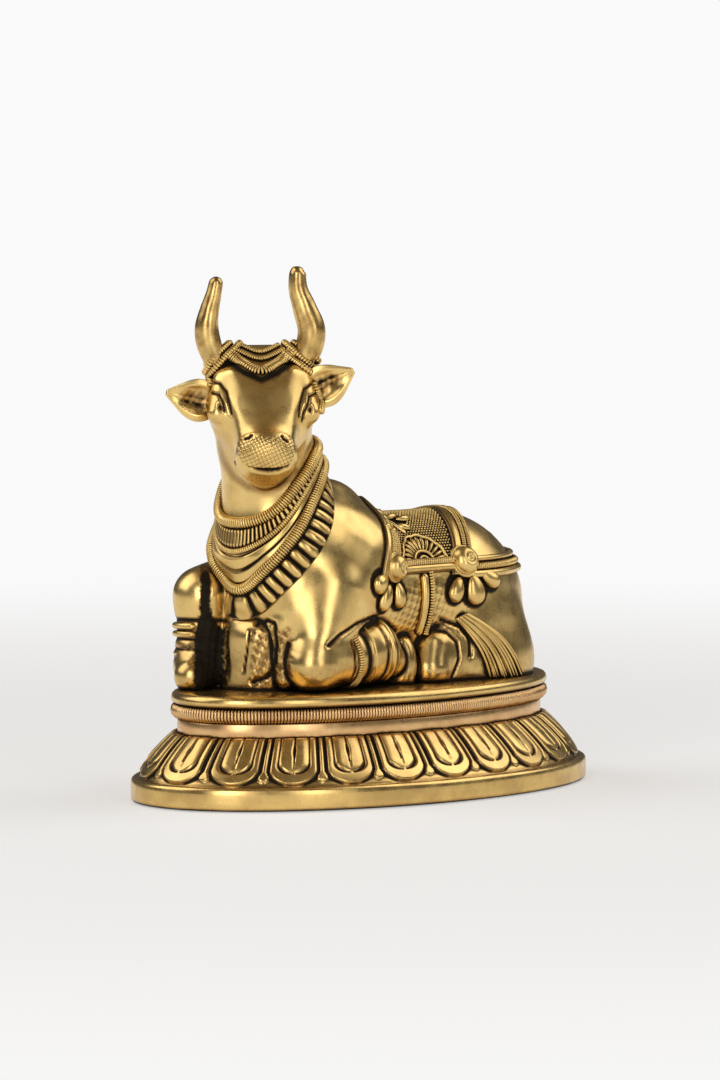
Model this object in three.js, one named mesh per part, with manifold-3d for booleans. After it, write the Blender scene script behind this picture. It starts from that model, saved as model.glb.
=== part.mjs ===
// Nandi, the couchant bull of Shiva, on an oval lotus plinth: one lost-wax casting in brass.
// Millimetres, +Z up. +X is the bull's left side and -Y its front.
// The origin is the centre of the plinth's underside.

import * as THREE from "three";
import { mergeVertices } from "three/addons/utils/BufferGeometryUtils.js";
import Module from "manifold-3d";

const wasm = await Module();
wasm.setup();

// Plinth, from the underside up.
const PLINTH_LENGTH = 124;
const PLINTH_WIDTH = 74;
const FOOT_HEIGHT = 5.2;
const FOOT_ROUND = 0.9;
const FOOT_LEDGE = 1.4;
const LOTUS_STEP = 0.6;
const LOTUS_HEIGHT = 10;
const LOTUS_SPREAD = 9;
const BAND_HEIGHT = 3.4;
const ROLL_HEIGHT = 3.4;
const ROLL_BULGE = 1.6;
const SLAB_THICKNESS = 2.7;
const SLAB_OVERHANG = 1.5;
const PETAL_COUNT = 22;
const PETAL_RELIEF = 0.9;

// The bull's height from the slab to its horn tips. The figure's own places are for REFERENCE_HEIGHT.
const BULL_HEIGHT = 95;
const REFERENCE_HEIGHT = 95;

// Relief of the harness over the skin, and how far each piece of it is sunk.
const CLOTH_RELIEF = 0.7;
const STRAP_RELIEF = 1.3;
const STRAP_WIDTH = 5.6;
const RUMP_STRAP_WIDTH = 4.8;
const ROPE_RELIEF = 1.6;
const THIN_ROPE_RELIEF = 1.2;
const RIBBON_RELIEF = 0.8;
const LAPPET_COUNT = 22;
const LAPPET_RELIEF = 1.3;
const HEAD_ROPE_RELIEF = 1.2;
const BOSS_RADIUS = 3.2;
const BOSS_RELIEF = 2.6;
const TASSEL_RELIEF = 1.7;
const GIRTH_RELIEF = 0.9;
const BORDER_RELIEF = 1.5;
const FAN_RELIEF = 0.9;
const TUFT_RELIEF = 1.5;
const ANKLET_RELIEF = 0.8;
const SHELL_DEPTH = 2.4;

// The lift left in a groove, as a share of the relief beside it.
const GROOVE = 0.3;

const LOTUS_BASE = FOOT_HEIGHT;
const BAND_BASE = LOTUS_BASE + LOTUS_HEIGHT;
const ROLL_BASE = BAND_BASE + BAND_HEIGHT;
const SLAB_BASE = ROLL_BASE + ROLL_HEIGHT;
const SLAB_TOP = SLAB_BASE + SLAB_THICKNESS;
const BAND_INSET = FOOT_LEDGE + LOTUS_SPREAD + LOTUS_STEP;
const FIGURE = BULL_HEIGHT / REFERENCE_HEIGHT;

const radians = THREE.MathUtils.degToRad;
const vector = (x, y, z) => new THREE.Vector3(x, y, z);
const share = (a, b, t) => a + (b - a) * t;

// Closed meshes and solids.

function geometryOf(points, faces) {
  const flat = points.flatMap((p) => [p.x, p.y, p.z]);
  const geometry = new THREE.BufferGeometry();
  geometry.setAttribute("position", new THREE.Float32BufferAttribute(flat, 3));
  geometry.setIndex(faces);
  return geometry;
}

function turnedOutwards(geometry) {
  const index = geometry.index.array;
  const place = geometry.attributes.position;
  const [a, b, c] = [vector(), vector(), vector()];
  let volume = 0;
  for (let i = 0; i < index.length; i += 3) {
    a.fromBufferAttribute(place, index[i]);
    b.fromBufferAttribute(place, index[i + 1]);
    c.fromBufferAttribute(place, index[i + 2]);
    volume += a.dot(b.cross(c));
  }
  if (volume < 0) {
    for (let i = 0; i < index.length; i += 3) {
      [index[i + 1], index[i + 2]] = [index[i + 2], index[i + 1]];
    }
  }
  return geometry;
}

function solidOf(geometry) {
  const bare = geometry.clone();
  bare.deleteAttribute("normal");
  bare.deleteAttribute("uv");
  const merged = turnedOutwards(mergeVertices(bare, 1e-4));
  return new wasm.Manifold(
    new wasm.Mesh({
      numProp: 3,
      vertProperties: new Float32Array(merged.attributes.position.array),
      triVerts: new Uint32Array(merged.index.array),
    }),
  );
}

function geometryFrom(solid) {
  const mesh = solid.getMesh();
  const geometry = new THREE.BufferGeometry();
  geometry.setAttribute("position", new THREE.BufferAttribute(mesh.vertProperties, 3));
  geometry.setIndex(new THREE.BufferAttribute(mesh.triVerts, 1));
  geometry.computeVertexNormals();
  return geometry;
}

const joined = (solids) => solids.reduce((whole, piece) => whole.add(piece));

// A solid through rings of equal length, closed by a fan at each end.
function loft(rings) {
  const size = rings[0].length;
  const points = rings.flat();
  const faces = [];
  for (let r = 0; r + 1 < rings.length; r += 1) {
    for (let i = 0; i < size; i += 1) {
      const next = (i + 1) % size;
      const [a, b] = [r * size + i, r * size + next];
      faces.push(a, b, a + size, b, b + size, a + size);
    }
  }
  const ends = [rings[0], rings[rings.length - 1]];
  ends.forEach((ring, end) => {
    const middle = points.length;
    const start = end * (rings.length - 1) * size;
    points.push(ring.reduce((sum, p) => sum.add(p), vector(0, 0, 0)).divideScalar(size));
    for (let i = 0; i < size; i += 1) {
      const [a, b] = [start + i, start + ((i + 1) % size)];
      faces.push(...(end ? [a, b, middle] : [b, a, middle]));
    }
  });
  return solidOf(geometryOf(points, faces));
}

// A section of [across, outward] pairs, swept along stations that each have a place and an outward way.
function sweep(stations, section, sizeAt = () => 1) {
  const last = stations.length - 1;
  const rings = stations.map(({ at, out }, i) => {
    const before = stations[Math.max(i - 1, 0)].at;
    const after = stations[Math.min(i + 1, last)].at;
    const along = after.clone().sub(before).normalize();
    const across = along.clone().cross(out).normalize();
    const raised = across.clone().cross(along).normalize();
    const size = sizeAt(i / last);
    return section.map(([side, rise]) =>
      at.clone().addScaledVector(across, side * size).addScaledVector(raised, rise * size),
    );
  });
  return loft(rings);
}

const roundSection = (radius, sides, lift = 0) =>
  Array.from({ length: sides }, (_, i) => {
    const turn = (2 * Math.PI * (i + 0.5)) / sides;
    return [radius * Math.cos(turn), lift + radius * Math.sin(turn)];
  });

// A sheet of relief over a grid of stations: lifted above the skin and sunk below it.
function relief(grid, liftAt, sunk) {
  const [rows, size] = [grid.length, grid[0].length];
  const moved = (liftOf) =>
    grid.flatMap((row, r) => row.map(({ at, out }, i) => at.clone().addScaledVector(out, liftOf(r, i))));
  const points = [...moved(liftAt), ...moved(() => -sunk)];
  const half = rows * size;
  const faces = [];
  const quad = (a, b, c, d) => faces.push(a, b, c, a, c, d);
  for (let r = 0; r + 1 < rows; r += 1) {
    for (let i = 0; i + 1 < size; i += 1) {
      const a = r * size + i;
      quad(a, a + 1, a + size + 1, a + size);
      quad(half + a, half + a + size, half + a + size + 1, half + a + 1);
    }
    const [first, last] = [r * size, r * size + size - 1];
    quad(first, first + size, half + first + size, half + first);
    quad(last + size, last, half + last, half + last + size);
  }
  for (let i = 0; i + 1 < size; i += 1) {
    const end = (rows - 1) * size + i;
    quad(i + 1, i, half + i, half + i + 1);
    quad(end, end + 1, half + end + 1, half + end);
  }
  return solidOf(geometryOf(points, faces));
}

// Fields: a place's distance to a form, below zero inside it. Forms are given in the figure's own
// reference millimetres: [to its left, to its back, height over the slab].

function ballField(centre, radii) {
  const [middle, size, scaled] = [vector(...centre), vector(...radii), vector()];
  const least = Math.min(...radii);
  return (p) => {
    scaled.subVectors(p, middle).divide(size);
    const near = scaled.length();
    const steep = scaled.divide(size).length();
    return steep < 1e-9 ? -least : (near * (near - 1)) / steep;
  };
}

function boneField(start, startRadius, end, endRadius) {
  const [a, b, away] = [vector(...start), vector(...end), vector()];
  const bone = b.clone().sub(a);
  const span = bone.lengthSq();
  return (p) => {
    away.subVectors(p, a);
    const t = THREE.MathUtils.clamp(away.dot(bone) / span, 0, 1);
    return away.addScaledVector(bone, -t).length() - share(startRadius, endRadius, t);
  };
}

function blended(softness, fields) {
  return (p) =>
    fields.reduce((near, field) => {
      const other = field(p);
      const mix = Math.max(softness - Math.abs(near - other), 0) / softness;
      return Math.min(near, other) - mix * mix * softness * 0.25;
    }, 1e3);
}

const figurePlace = ([x, y, h]) => vector(x * FIGURE, y * FIGURE, SLAB_TOP + h * FIGURE);
const placed = (field) => (p) =>
  FIGURE * field(vector(p.x / FIGURE, p.y / FIGURE, (p.z - SLAB_TOP) / FIGURE));

const mirrored = (make) => [make(1), make(-1)];

function steepest(field, p) {
  const step = 0.05;
  const slope = vector(
    field(vector(p.x + step, p.y, p.z)) - field(vector(p.x - step, p.y, p.z)),
    field(vector(p.x, p.y + step, p.z)) - field(vector(p.x, p.y - step, p.z)),
    field(vector(p.x, p.y, p.z + step)) - field(vector(p.x, p.y, p.z - step)),
  );
  return slope.divideScalar(2 * step);
}

// Where a line from outside, along a direction, meets the skin of a field, and the skin's outward way.
// A line that passes the skin by takes the skin's place nearest to it.
function onSkin(field, from, direction) {
  const way = direction.clone().normalize();
  const at = from.clone();
  let nearest = { gap: Infinity, at };
  for (let i = 0; i < 150; i += 1) {
    const gap = field(at);
    if (gap < nearest.gap) nearest = { gap, at: at.clone() };
    if (gap < 0.01) break;
    at.addScaledVector(way, gap * 0.6);
  }
  for (let i = 0; i < 6; i += 1) {
    nearest.at.addScaledVector(steepest(field, nearest.at).normalize(), -field(nearest.at));
  }
  return { at: nearest.at, out: steepest(field, nearest.at).normalize() };
}

// The faces of a cell, each with its corners in order as seen from outside. A corner is [x, y, z].
const CELL_FACES = [0, 1, 2].flatMap((axis) =>
  [0, 1].map((end) => {
    const [side, other] = end ? [(axis + 1) % 3, (axis + 2) % 3] : [(axis + 2) % 3, (axis + 1) % 3];
    return [[0, 0], [1, 0], [1, 1], [0, 1]].map(([s, o]) => {
      const corner = [0, 0, 0];
      corner[axis] = end;
      corner[side] = s;
      corner[other] = o;
      return corner;
    });
  }),
);

// The skin of a field as a closed mesh. It cuts the edges of a grid, and the cuts of each cell are joined
// into loops. The mesh is then evened out and moved onto the skin.
function skinOf(field, grid) {
  const { count, placeOf } = grid;
  const node = ([i, j, k]) => i + count[0] * (j + count[1] * k);
  const value = new Float64Array(count[0] * count[1] * count[2]);
  for (let k = 0; k < count[2]; k += 1) {
    for (let j = 0; j < count[1]; j += 1) {
      for (let i = 0; i < count[0]; i += 1) value[node([i, j, k])] = field(placeOf([i, j, k]));
    }
  }
  const cuts = new Map();
  const points = [];
  const cutAt = (a, b) => {
    const [one, two] = node(a) < node(b) ? [a, b] : [b, a];
    const key = node(one) * 4 + one.findIndex((c, axis) => c !== two[axis]);
    if (!cuts.has(key)) {
      const [va, vb] = [value[node(one)], value[node(two)]];
      cuts.set(key, points.length);
      points.push(placeOf(one).lerp(placeOf(two), THREE.MathUtils.clamp(va / (va - vb), 0.1, 0.9)));
    }
    return cuts.get(key);
  };
  const faces = [];
  for (let k = 0; k + 1 < count[2]; k += 1) {
    for (let j = 0; j + 1 < count[1]; j += 1) {
      for (let i = 0; i + 1 < count[0]; i += 1) {
        loopsOfCell([i, j, k], (corner) => value[node(corner)] < 0, cutAt).forEach((loop) => {
          for (let n = 1; n + 1 < loop.length; n += 1) faces.push(loop[0], loop[n], loop[n + 1]);
        });
      }
    }
  }
  evenOut(points, faces, field, grid.finest);
  return solidOf(geometryOf(points, faces));
}

// A grid round the bull whose cells are fine at the head and coarser at the body.
function bullGrid() {
  const cellAt = (h) => share(BODY_CELL, HEAD_CELL, THREE.MathUtils.smoothstep(h, 36, 54));
  const heights = [-SUNK - 1.2 * BODY_CELL];
  while (heights[heights.length - 1] < HEAD_TOP) {
    const h = heights[heights.length - 1];
    heights.push(h + cellAt(h));
  }
  const count = [2 * Math.ceil(GRID_HALF_WIDTH / BODY_CELL), 2 * Math.ceil(GRID_HALF_LENGTH / BODY_CELL)];
  const placeOf = ([i, j, k]) => {
    const h = heights[k];
    const cell = cellAt(h);
    const towardsHead = THREE.MathUtils.smoothstep(h, 30, 50);
    const x = share(0, HEAD_MIDDLE[0], towardsHead) + (i - (count[0] - 1) / 2) * cell;
    const y = share(0, HEAD_MIDDLE[1], towardsHead) + (j - (count[1] - 1) / 2) * cell;
    return figurePlace([x, y, h]);
  };
  return { count: [...count, heights.length], placeOf, finest: HEAD_CELL * FIGURE };
}

function loopsOfCell(place, inside, cutAt) {
  const next = new Map();
  CELL_FACES.forEach((face) => {
    const ring = face.map((corner) => corner.map((c, axis) => c + place[axis]));
    ring.forEach((corner, i) => {
      if (inside(corner) || !inside(ring[(i + 1) % 4])) return;
      let last = (i + 1) % 4;
      while (inside(ring[(last + 1) % 4])) last = (last + 1) % 4;
      next.set(cutAt(ring[last], ring[(last + 1) % 4]), cutAt(corner, ring[(i + 1) % 4]));
    });
  });
  const loops = [];
  while (next.size) {
    const loop = [];
    let at = next.keys().next().value;
    while (next.has(at)) {
      loop.push(at);
      const after = next.get(at);
      next.delete(at);
      at = after;
    }
    loops.push(loop);
  }
  return loops;
}

function evenOut(points, faces, field, cell) {
  const neighbours = points.map(() => new Set());
  for (let i = 0; i < faces.length; i += 3) {
    for (let n = 0; n < 3; n += 1) neighbours[faces[i + n]].add(faces[i + ((n + 1) % 3)]);
  }
  for (let turn = 0; turn < 24; turn += 1) {
    const middles = neighbours.map((near) => {
      const middle = vector(0, 0, 0);
      near.forEach((n) => middle.add(points[n]));
      return middle.divideScalar(near.size);
    });
    points.forEach((p, i) => {
      p.lerp(middles[i], 0.5);
      const slope = steepest(field, p);
      const move = -field(p) / Math.max(slope.lengthSq(), 0.3);
      p.addScaledVector(slope, THREE.MathUtils.clamp(move, -cell * 0.4, cell * 0.4));
    });
  }
}

// Plinth.

function plinthPoint(turn, inset, height) {
  const [across, along] = [PLINTH_WIDTH / 2 - inset, PLINTH_LENGTH / 2 - inset];
  return vector(across * Math.cos(turn), along * Math.sin(turn), height);
}

function lotusInset(rise) {
  return FOOT_LEDGE + LOTUS_STEP + LOTUS_SPREAD * (0.62 * rise + 0.38 * rise * rise);
}

// Rings of the plinth from the underside up: [inset, height].
const footRings = () => [
  [FOOT_ROUND * 0.6, 0],
  [0, FOOT_ROUND],
  [0, FOOT_HEIGHT - FOOT_ROUND],
  [FOOT_ROUND, FOOT_HEIGHT],
];

function upperRings() {
  const slabInset = BAND_INSET - SLAB_OVERHANG;
  return [
    [BAND_INSET, BAND_BASE],
    [BAND_INSET, ROLL_BASE],
    [BAND_INSET - ROLL_BULGE, ROLL_BASE + ROLL_HEIGHT * 0.4],
    [BAND_INSET - ROLL_BULGE * 0.2, SLAB_BASE],
    [slabInset, SLAB_BASE + SLAB_THICKNESS * 0.4],
    [slabInset + SLAB_THICKNESS * 0.2, SLAB_TOP - SLAB_THICKNESS * 0.1],
    [slabInset + SLAB_THICKNESS * 0.5, SLAB_TOP],
  ];
}

// Turns that part the outline into equal lengths.
function evenTurns(count) {
  const steps = 720;
  const lengths = [0];
  for (let i = 1; i <= steps; i += 1) {
    const before = plinthPoint((2 * Math.PI * (i - 1)) / steps, 0, 0);
    lengths.push(lengths[i - 1] + before.distanceTo(plinthPoint((2 * Math.PI * i) / steps, 0, 0)));
  }
  return (place) => {
    const wanted = (place / count - Math.floor(place / count)) * lengths[steps];
    const step = Math.max(lengths.findIndex((length) => length >= wanted), 1);
    const rest = (wanted - lengths[step - 1]) / (lengths[step] - lengths[step - 1]);
    return (2 * Math.PI * (step - 1 + rest)) / steps;
  };
}

// Rows of the lotus from its foot up. Each petal has a groove beside it and two rims, which close into a
// round tip below: [rise, half width between the rims as a share of a petal, share of the relief].
const PETAL_ROWS = [
  [0.03, 0.1, 0],
  [0.12, 0.13, 0.9],
  [0.3, 0.32, 1],
  [0.62, 0.4, 1],
  [0.97, 0.41, 0.8],
];

// Where the first petal's middle lies, in petals from the left end of the plinth's width.
const PETAL_START = 0.75;

function plinth() {
  const turnAt = evenTurns(PETAL_COUNT);
  const widest = PETAL_ROWS[PETAL_ROWS.length - 1][1];
  const petals = Array.from({ length: PETAL_COUNT }, (_, petal) => petal + PETAL_START);
  const ring = (half, at) =>
    petals.flatMap((middle) => [
      at(turnAt(middle - 0.5), 0),
      at(turnAt(middle - half), 1),
      at(turnAt(middle + half), 1),
    ]);
  const evenly = petals.flatMap((middle) => [-1, 0, 1].map((third) => turnAt(middle + third / 3 - 0.25)));
  const foot = footRings().map(([inset, height]) => evenly.map((turn) => plinthPoint(turn, inset, height)));
  const lotus = PETAL_ROWS.map(([rise, half, raised]) => {
    const height = LOTUS_BASE + LOTUS_HEIGHT * rise;
    return ring(half, (turn, onPetal) => {
      const lift = onPetal * raised * PETAL_RELIEF;
      return plinthPoint(turn, lotusInset(rise) - lift * 0.7, height + lift * 0.6);
    });
  });
  const upperRing = ([inset, height]) => ring(widest, (turn) => plinthPoint(turn, inset, height));
  return loft([...foot, ...lotus, ...upperRings().map(upperRing)]);
}

// Body and legs.

function bodyForms() {
  const barrel = boneField([0, -14, 20.5], 17.2, [0, 21, 20.3], 16.9);
  const belly = boneField([0, -16, 6], 11.5, [0, 24, 6], 12);
  const rump = ballField([0, 25.7, 16.2], [16, 20, 18.8]);
  const chest = ballField([0, -21.5, 24], [17.6, 15, 20]);
  const hump = ballField([0, -12.5, 35.5], [9, 12, 11]);
  const haunches = mirrored((side) => ballField([side * 9.5, 25.6, 3.5], [10.6, 17.3, 14.5]));
  const shoulders = mirrored((side) => boneField([side * 7.5, -12, 30], 10.5, [side * 9, -23, 15], 9.5));
  return blended(5, [barrel, belly, rump, chest, hump, ...haunches, ...shoulders]);
}

function dewlapForms() {
  const ridge = boneField([0, -31.5, 38], 3.4, [0, -34.6, 20], 2.8);
  const brisket = boneField([1.2, -31.8, 11.5], 6, [1, -32, -1], 5.4);
  const fold = boneField([8, -31.5, 15], 2.8, [9, -31, 3], 2.6);
  const breast = boneField([-3.6, -35.4, -1], 3.6, [-3, -33.6, 21], 3.4);
  return blended(3, [ridge, brisket, fold, breast]);
}

// The right foreleg stands on its hoof with the knee raised.
const RIGHT_KNEE = [-12, -37.8, 20.6];
const RIGHT_FETLOCK = [-11.6, -38.6, 5.5];
const RIGHT_HOOF = [-8.6, -44, 3];

function raisedForeleg() {
  return blended(3, [
    boneField([-11, -22, 25], 8, RIGHT_KNEE, 5.9),
    boneField(RIGHT_KNEE, 5.9, RIGHT_FETLOCK, 5.6),
    boneField(RIGHT_FETLOCK, 5.6, RIGHT_HOOF, 4),
  ]);
}

// The left foreleg kneels, and its shank lies back along the slab.
const LEFT_KNEE = [13.8, -27.5, 6.2];
const LEFT_FETLOCK = [13.5, -11, 8.2];
const LEFT_HOOF = [14.5, -4.4, 5.6];

function foldedForeleg() {
  return blended(3, [
    boneField([10.5, -21, 22], 9, LEFT_KNEE, 5.8),
    boneField(LEFT_KNEE, 5.8, LEFT_FETLOCK, 7.1),
    boneField(LEFT_FETLOCK, 7, LEFT_HOOF, 3.6),
  ]);
}

function hindLegs() {
  const legs = mirrored((side) => [
    boneField([side * 14.3, 7.4, 3], 4.8, [side * 13.6, 9, 8], 4.1),
    ballField([side * 12, 12.5, 4], [6.2, 9, 10.8]),
    ballField([side * 12.6, -0.6, 4.3], [5, 3.8, 7.8]),
  ]);
  return blended(1.2, legs.flat());
}

function tailForms() {
  return blended(2, [
    boneField([0, 38, 29], 3.2, [0, 44.5, 20], 2.8),
    boneField([0, 44.5, 20], 2.8, [-1, 46, 8], 2.5),
    boneField([-1, 46, 8], 2.5, [-3, 43.5, 0], 2.6),
  ]);
}

function neckForms() {
  return blended(4, [
    boneField([-0.8, -24.2, 33], 15.2, [-0.5, -27, 48], 10.4),
    boneField([-0.5, -27, 48], 10.4, [-1, -29.5, 62], 9),
  ]);
}

// Head, in its own frame: [to its left, along the face from the poll, out of the forehead].

const POLL = [0, -30.7, 77];
const HEAD_TURN = radians(52.5);
const HEAD_PITCH = radians(46);
const HEADING = vector(Math.sin(HEAD_TURN), -Math.cos(HEAD_TURN), 0);
const HEAD_LEFT = vector(Math.cos(HEAD_TURN), Math.sin(HEAD_TURN), 0);
const UPWARDS = vector(0, 0, 1);
const inProfile = (forwards, up) => HEADING.clone().multiplyScalar(forwards).addScaledVector(UPWARDS, up);
const FACEWARDS = inProfile(Math.cos(HEAD_PITCH), -Math.sin(HEAD_PITCH));
const FOREHEAD = inProfile(Math.sin(HEAD_PITCH), Math.cos(HEAD_PITCH));

function inHead(field) {
  const [poll, away] = [vector(...POLL), vector()];
  return (p) => {
    away.subVectors(p, poll);
    return field(vector(away.dot(HEAD_LEFT), away.dot(FACEWARDS), away.dot(FOREHEAD)));
  };
}

// A reference place given from the poll: to the head's left, towards where it looks, and up.
function headPlace([left, front, up]) {
  const p = vector(...POLL).addScaledVector(HEAD_LEFT, left).addScaledVector(HEADING, front);
  return [p.x, p.y, p.z + up];
}

function headForms() {
  const skull = ballField([0, 10.5, -9], [12.1, 12.5, 10]);
  const poll = boneField([-9, 1.5, -3.8], 3.9, [9.2, 1.5, -3.8], 4);
  const brows = mirrored((side) => boneField([side * 8.6, 8, -2.6], 2.4, [side * 10.4, 15.5, -5], 2.2));
  const ridges = mirrored((side) => boneField([side * 6.4, 9, -1.8], 2.6, [side * 5.4, 17, -3.6], 2.4));
  const bridge = boneField([0, 12, -6.8], 6.6, [0, 25, -6.2], 5.2);
  const muzzle = ballField([0, 27.2, -6.6], [6.9, 4.8, 7]);
  const chin = boneField([0, 17, -15], 6, [0, 26.5, -11.6], 3.9);
  const cheeks = ballField([0, 14, -16], [9.9, 11.5, 8.5]);
  const eyes = mirrored((side) => ballField([side * 10.6, 12.4, -6.4], [1.6, 2.3, 1.9]));
  return blended(2.5, [skull, poll, ...brows, ...ridges, bridge, muzzle, chin, cheeks, ...eyes]);
}

function throatForms() {
  return boneField([5, -34, 56], 8, [2, -31, 46], 5);
}

const SUNK = 1.4;
const BODY_CELL = 4.4;
const HEAD_CELL = 3;
const HEAD_TOP = 82;
const HEAD_MIDDLE = [5, -30];
const GRID_HALF_WIDTH = 31;
const GRID_HALF_LENGTH = 54;

function bullForms() {
  const legs = [raisedForeleg(), foldedForeleg(), hindLegs()];
  const body = blended(1.6, [bodyForms(), dewlapForms(), ...legs, tailForms()]);
  const whole = blended(2.5, [body, neckForms(), inHead(headForms()), throatForms()]);
  return (p) => Math.max(whole(p), -SUNK - p.z);
}

const bullField = placed(bullForms());

// Where the skin lies under a place of the figure, coming in along a direction.
function castOnBull(place, direction) {
  return onSkin(bullField, figurePlace(place), vector(...direction));
}

// The skin round the neck and chest: a turn of 0 is in front and 90 on the left side.
const NECK_MIDDLE = -24;
const FAR_OFF = 60;

function neckStation(turn, height) {
  const [side, front] = [Math.sin(radians(turn)), -Math.cos(radians(turn))];
  return castOnBull([side * FAR_OFF, NECK_MIDDLE + front * FAR_OFF, height], [-side, -front, 0]);
}

// The skin round the barrel: an angle of 0 is on the back and 90 on the left side.
const BARREL_MIDDLE = 20;

function barrelStation(angle, y) {
  const [side, rise] = [Math.sin(radians(angle)), Math.cos(radians(angle))];
  return castOnBull([side * FAR_OFF, y, BARREL_MIDDLE + rise * FAR_OFF], [-side, 0, -rise]);
}

// A height along a necklace, from its [turn, height] pairs, eased between them.
function heightAlong(pairs, turn) {
  const places = pairs.map(([at, height]) => vector(at, height, 0));
  const curve = new THREE.SplineCurve(places.map((p) => new THREE.Vector2(p.x, p.y)));
  const steps = curve.getPoints(60);
  const wanted = Math.abs(turn);
  const next = Math.max(steps.findIndex((p) => p.x >= wanted), 1);
  const [a, b] = [steps[next - 1], steps[next]];
  return share(a.y, b.y, THREE.MathUtils.clamp((wanted - a.x) / (b.x - a.x), 0, 1));
}

// Necklaces, each by the height of its line at turns from the chest to the nape.
const COLLAR_LINE = [[0, 38], [45, 42], [60, 46], [85, 51.5], [125, 54.5], [180, 55.5]];
const CHEST_LINE = [[0, 22.4], [34, 27.9], [56, 34], [84, 43.6], [98, 47], [125, 50], [180, 51]];
const LAPPET_LINE = [[0, 15.7], [36, 20.2], [60, 27], [80, 35.3], [100, 43], [125, 47], [180, 48]];
const NECKLACE_REACH = 170;
const NECKLACE_STEPS = 18;
const LAPPET_REACH = 112;

// Rows from the collar rope down to the chest rope: [share of the way down, lift].
const NECKLACE_ROWS = [
  [-0.1, ROPE_RELIEF * GROOVE],
  [-0.02, ROPE_RELIEF],
  [0.07, ROPE_RELIEF],
  [0.14, RIBBON_RELIEF * 0.7],
  [0.36, RIBBON_RELIEF],
  [0.43, THIN_ROPE_RELIEF],
  [0.52, RIBBON_RELIEF * 0.7],
  [0.86, RIBBON_RELIEF * 0.7],
  [0.93, ROPE_RELIEF],
  [1.03, ROPE_RELIEF],
];

function neckRow(reach, steps, heightAt) {
  return Array.from({ length: steps + 1 }, (_, i) => {
    const turn = share(-reach, reach, i / steps);
    return neckStation(turn, heightAt(turn));
  });
}

function necklaces() {
  const rows = NECKLACE_ROWS.map(([down]) =>
    neckRow(NECKLACE_REACH, NECKLACE_STEPS, (turn) =>
      share(heightAlong(COLLAR_LINE, turn), heightAlong(CHEST_LINE, turn), down),
    ),
  );
  return relief(rows, (r) => NECKLACE_ROWS[r][1], SHELL_DEPTH);
}

// The lappets hang below the chest rope, side by side, with a groove between each two.
function lappets() {
  const rows = [0.05, 0.6, 1].map((down) =>
    neckRow(LAPPET_REACH, 2 * LAPPET_COUNT, (turn) =>
      share(heightAlong(CHEST_LINE, turn), heightAlong(LAPPET_LINE, turn), down),
    ),
  );
  const crown = [0.8, 1, 0.7];
  return relief(rows, (r, i) => LAPPET_RELIEF * (i % 2 ? crown[r] : GROOVE), SHELL_DEPTH);
}

// Saddle cloth with a strap along its front and its rear edge. It slants forwards down each side.
const CLOTH_SLANT = 9;
const CLOTH_DROP = 72;
const CLOTH_FRONT = 1;
const CLOTH_REAR = 24.5;

function saddleCloth() {
  const half = STRAP_WIDTH / 2 / FIGURE;
  const rows = [
    [CLOTH_FRONT - half, STRAP_RELIEF * 0.5],
    [CLOTH_FRONT - half * 0.6, STRAP_RELIEF],
    [CLOTH_FRONT + half * 0.7, STRAP_RELIEF],
    [CLOTH_FRONT + half, CLOTH_RELIEF],
    [CLOTH_REAR - half, CLOTH_RELIEF],
    [CLOTH_REAR - half * 0.7, STRAP_RELIEF],
    [CLOTH_REAR + half * 0.6, STRAP_RELIEF],
    [CLOTH_REAR + half, STRAP_RELIEF * 0.5],
  ];
  const right = [
    [CLOTH_DROP, BORDER_RELIEF * 0.2],
    [CLOTH_DROP - 3, BORDER_RELIEF],
    [CLOTH_DROP - 8, BORDER_RELIEF],
    [CLOTH_DROP - 14, 0],
    [CLOTH_DROP * 0.55, 0],
    [CLOTH_DROP * 0.28, 0],
  ];
  const left = right.map(([angle, lift]) => [-angle, lift]).reverse();
  const columns = [...right, [0, 0], ...left];
  const slantedBy = (angle) => (CLOTH_SLANT * Math.abs(angle)) / CLOTH_DROP;
  const grid = rows.map(([y]) => columns.map(([angle]) => barrelStation(angle, y - slantedBy(angle))));
  return relief(grid, (r, i) => Math.max(rows[r][1], columns[i][1]), SHELL_DEPTH);
}

// What hangs at each side of the cloth, by [y, height] on the flank.
const FRONT_BOSS = [-6.5, 27];
const REAR_BOSS = [16.6, 26.8];

const flankStation = (side, [y, height]) => castOnBull([side * FAR_OFF, y, height], [-side, 0, 0]);
const flankLine = (side, points) => points.map((place) => flankStation(side, place));

const BOSS_SIDES = 9;

function turned(station, profile, sides) {
  const across = station.out.clone().cross(UPWARDS).normalize();
  const upwards = across.clone().cross(station.out).normalize();
  const around = (radius, lift, i) => {
    const turn = (2 * Math.PI * i) / sides;
    return station.at
      .clone()
      .addScaledVector(across, radius * Math.cos(turn))
      .addScaledVector(upwards, radius * Math.sin(turn))
      .addScaledVector(station.out, lift);
  };
  const ring = ([radius, lift]) => Array.from({ length: sides }, (_, i) => around(radius, lift, i));
  return loft(profile.map(ring));
}

function boss(side, place) {
  const profile = [
    [BOSS_RADIUS, -SHELL_DEPTH],
    [BOSS_RADIUS, BOSS_RELIEF * 0.4],
    [BOSS_RADIUS * 0.7, BOSS_RELIEF * 0.9],
    [BOSS_RADIUS * 0.25, BOSS_RELIEF],
  ];
  return turned(flankStation(side, place), profile, BOSS_SIDES);
}

// Tassels spread below a boss, with a groove between each two. A row is [reach, reach of a groove, lift].
const TASSEL_REACH = 8;
const TASSEL_ROWS = [[0.38, 0.38, 0.7], [0.95, 0.8, 1]];

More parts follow.
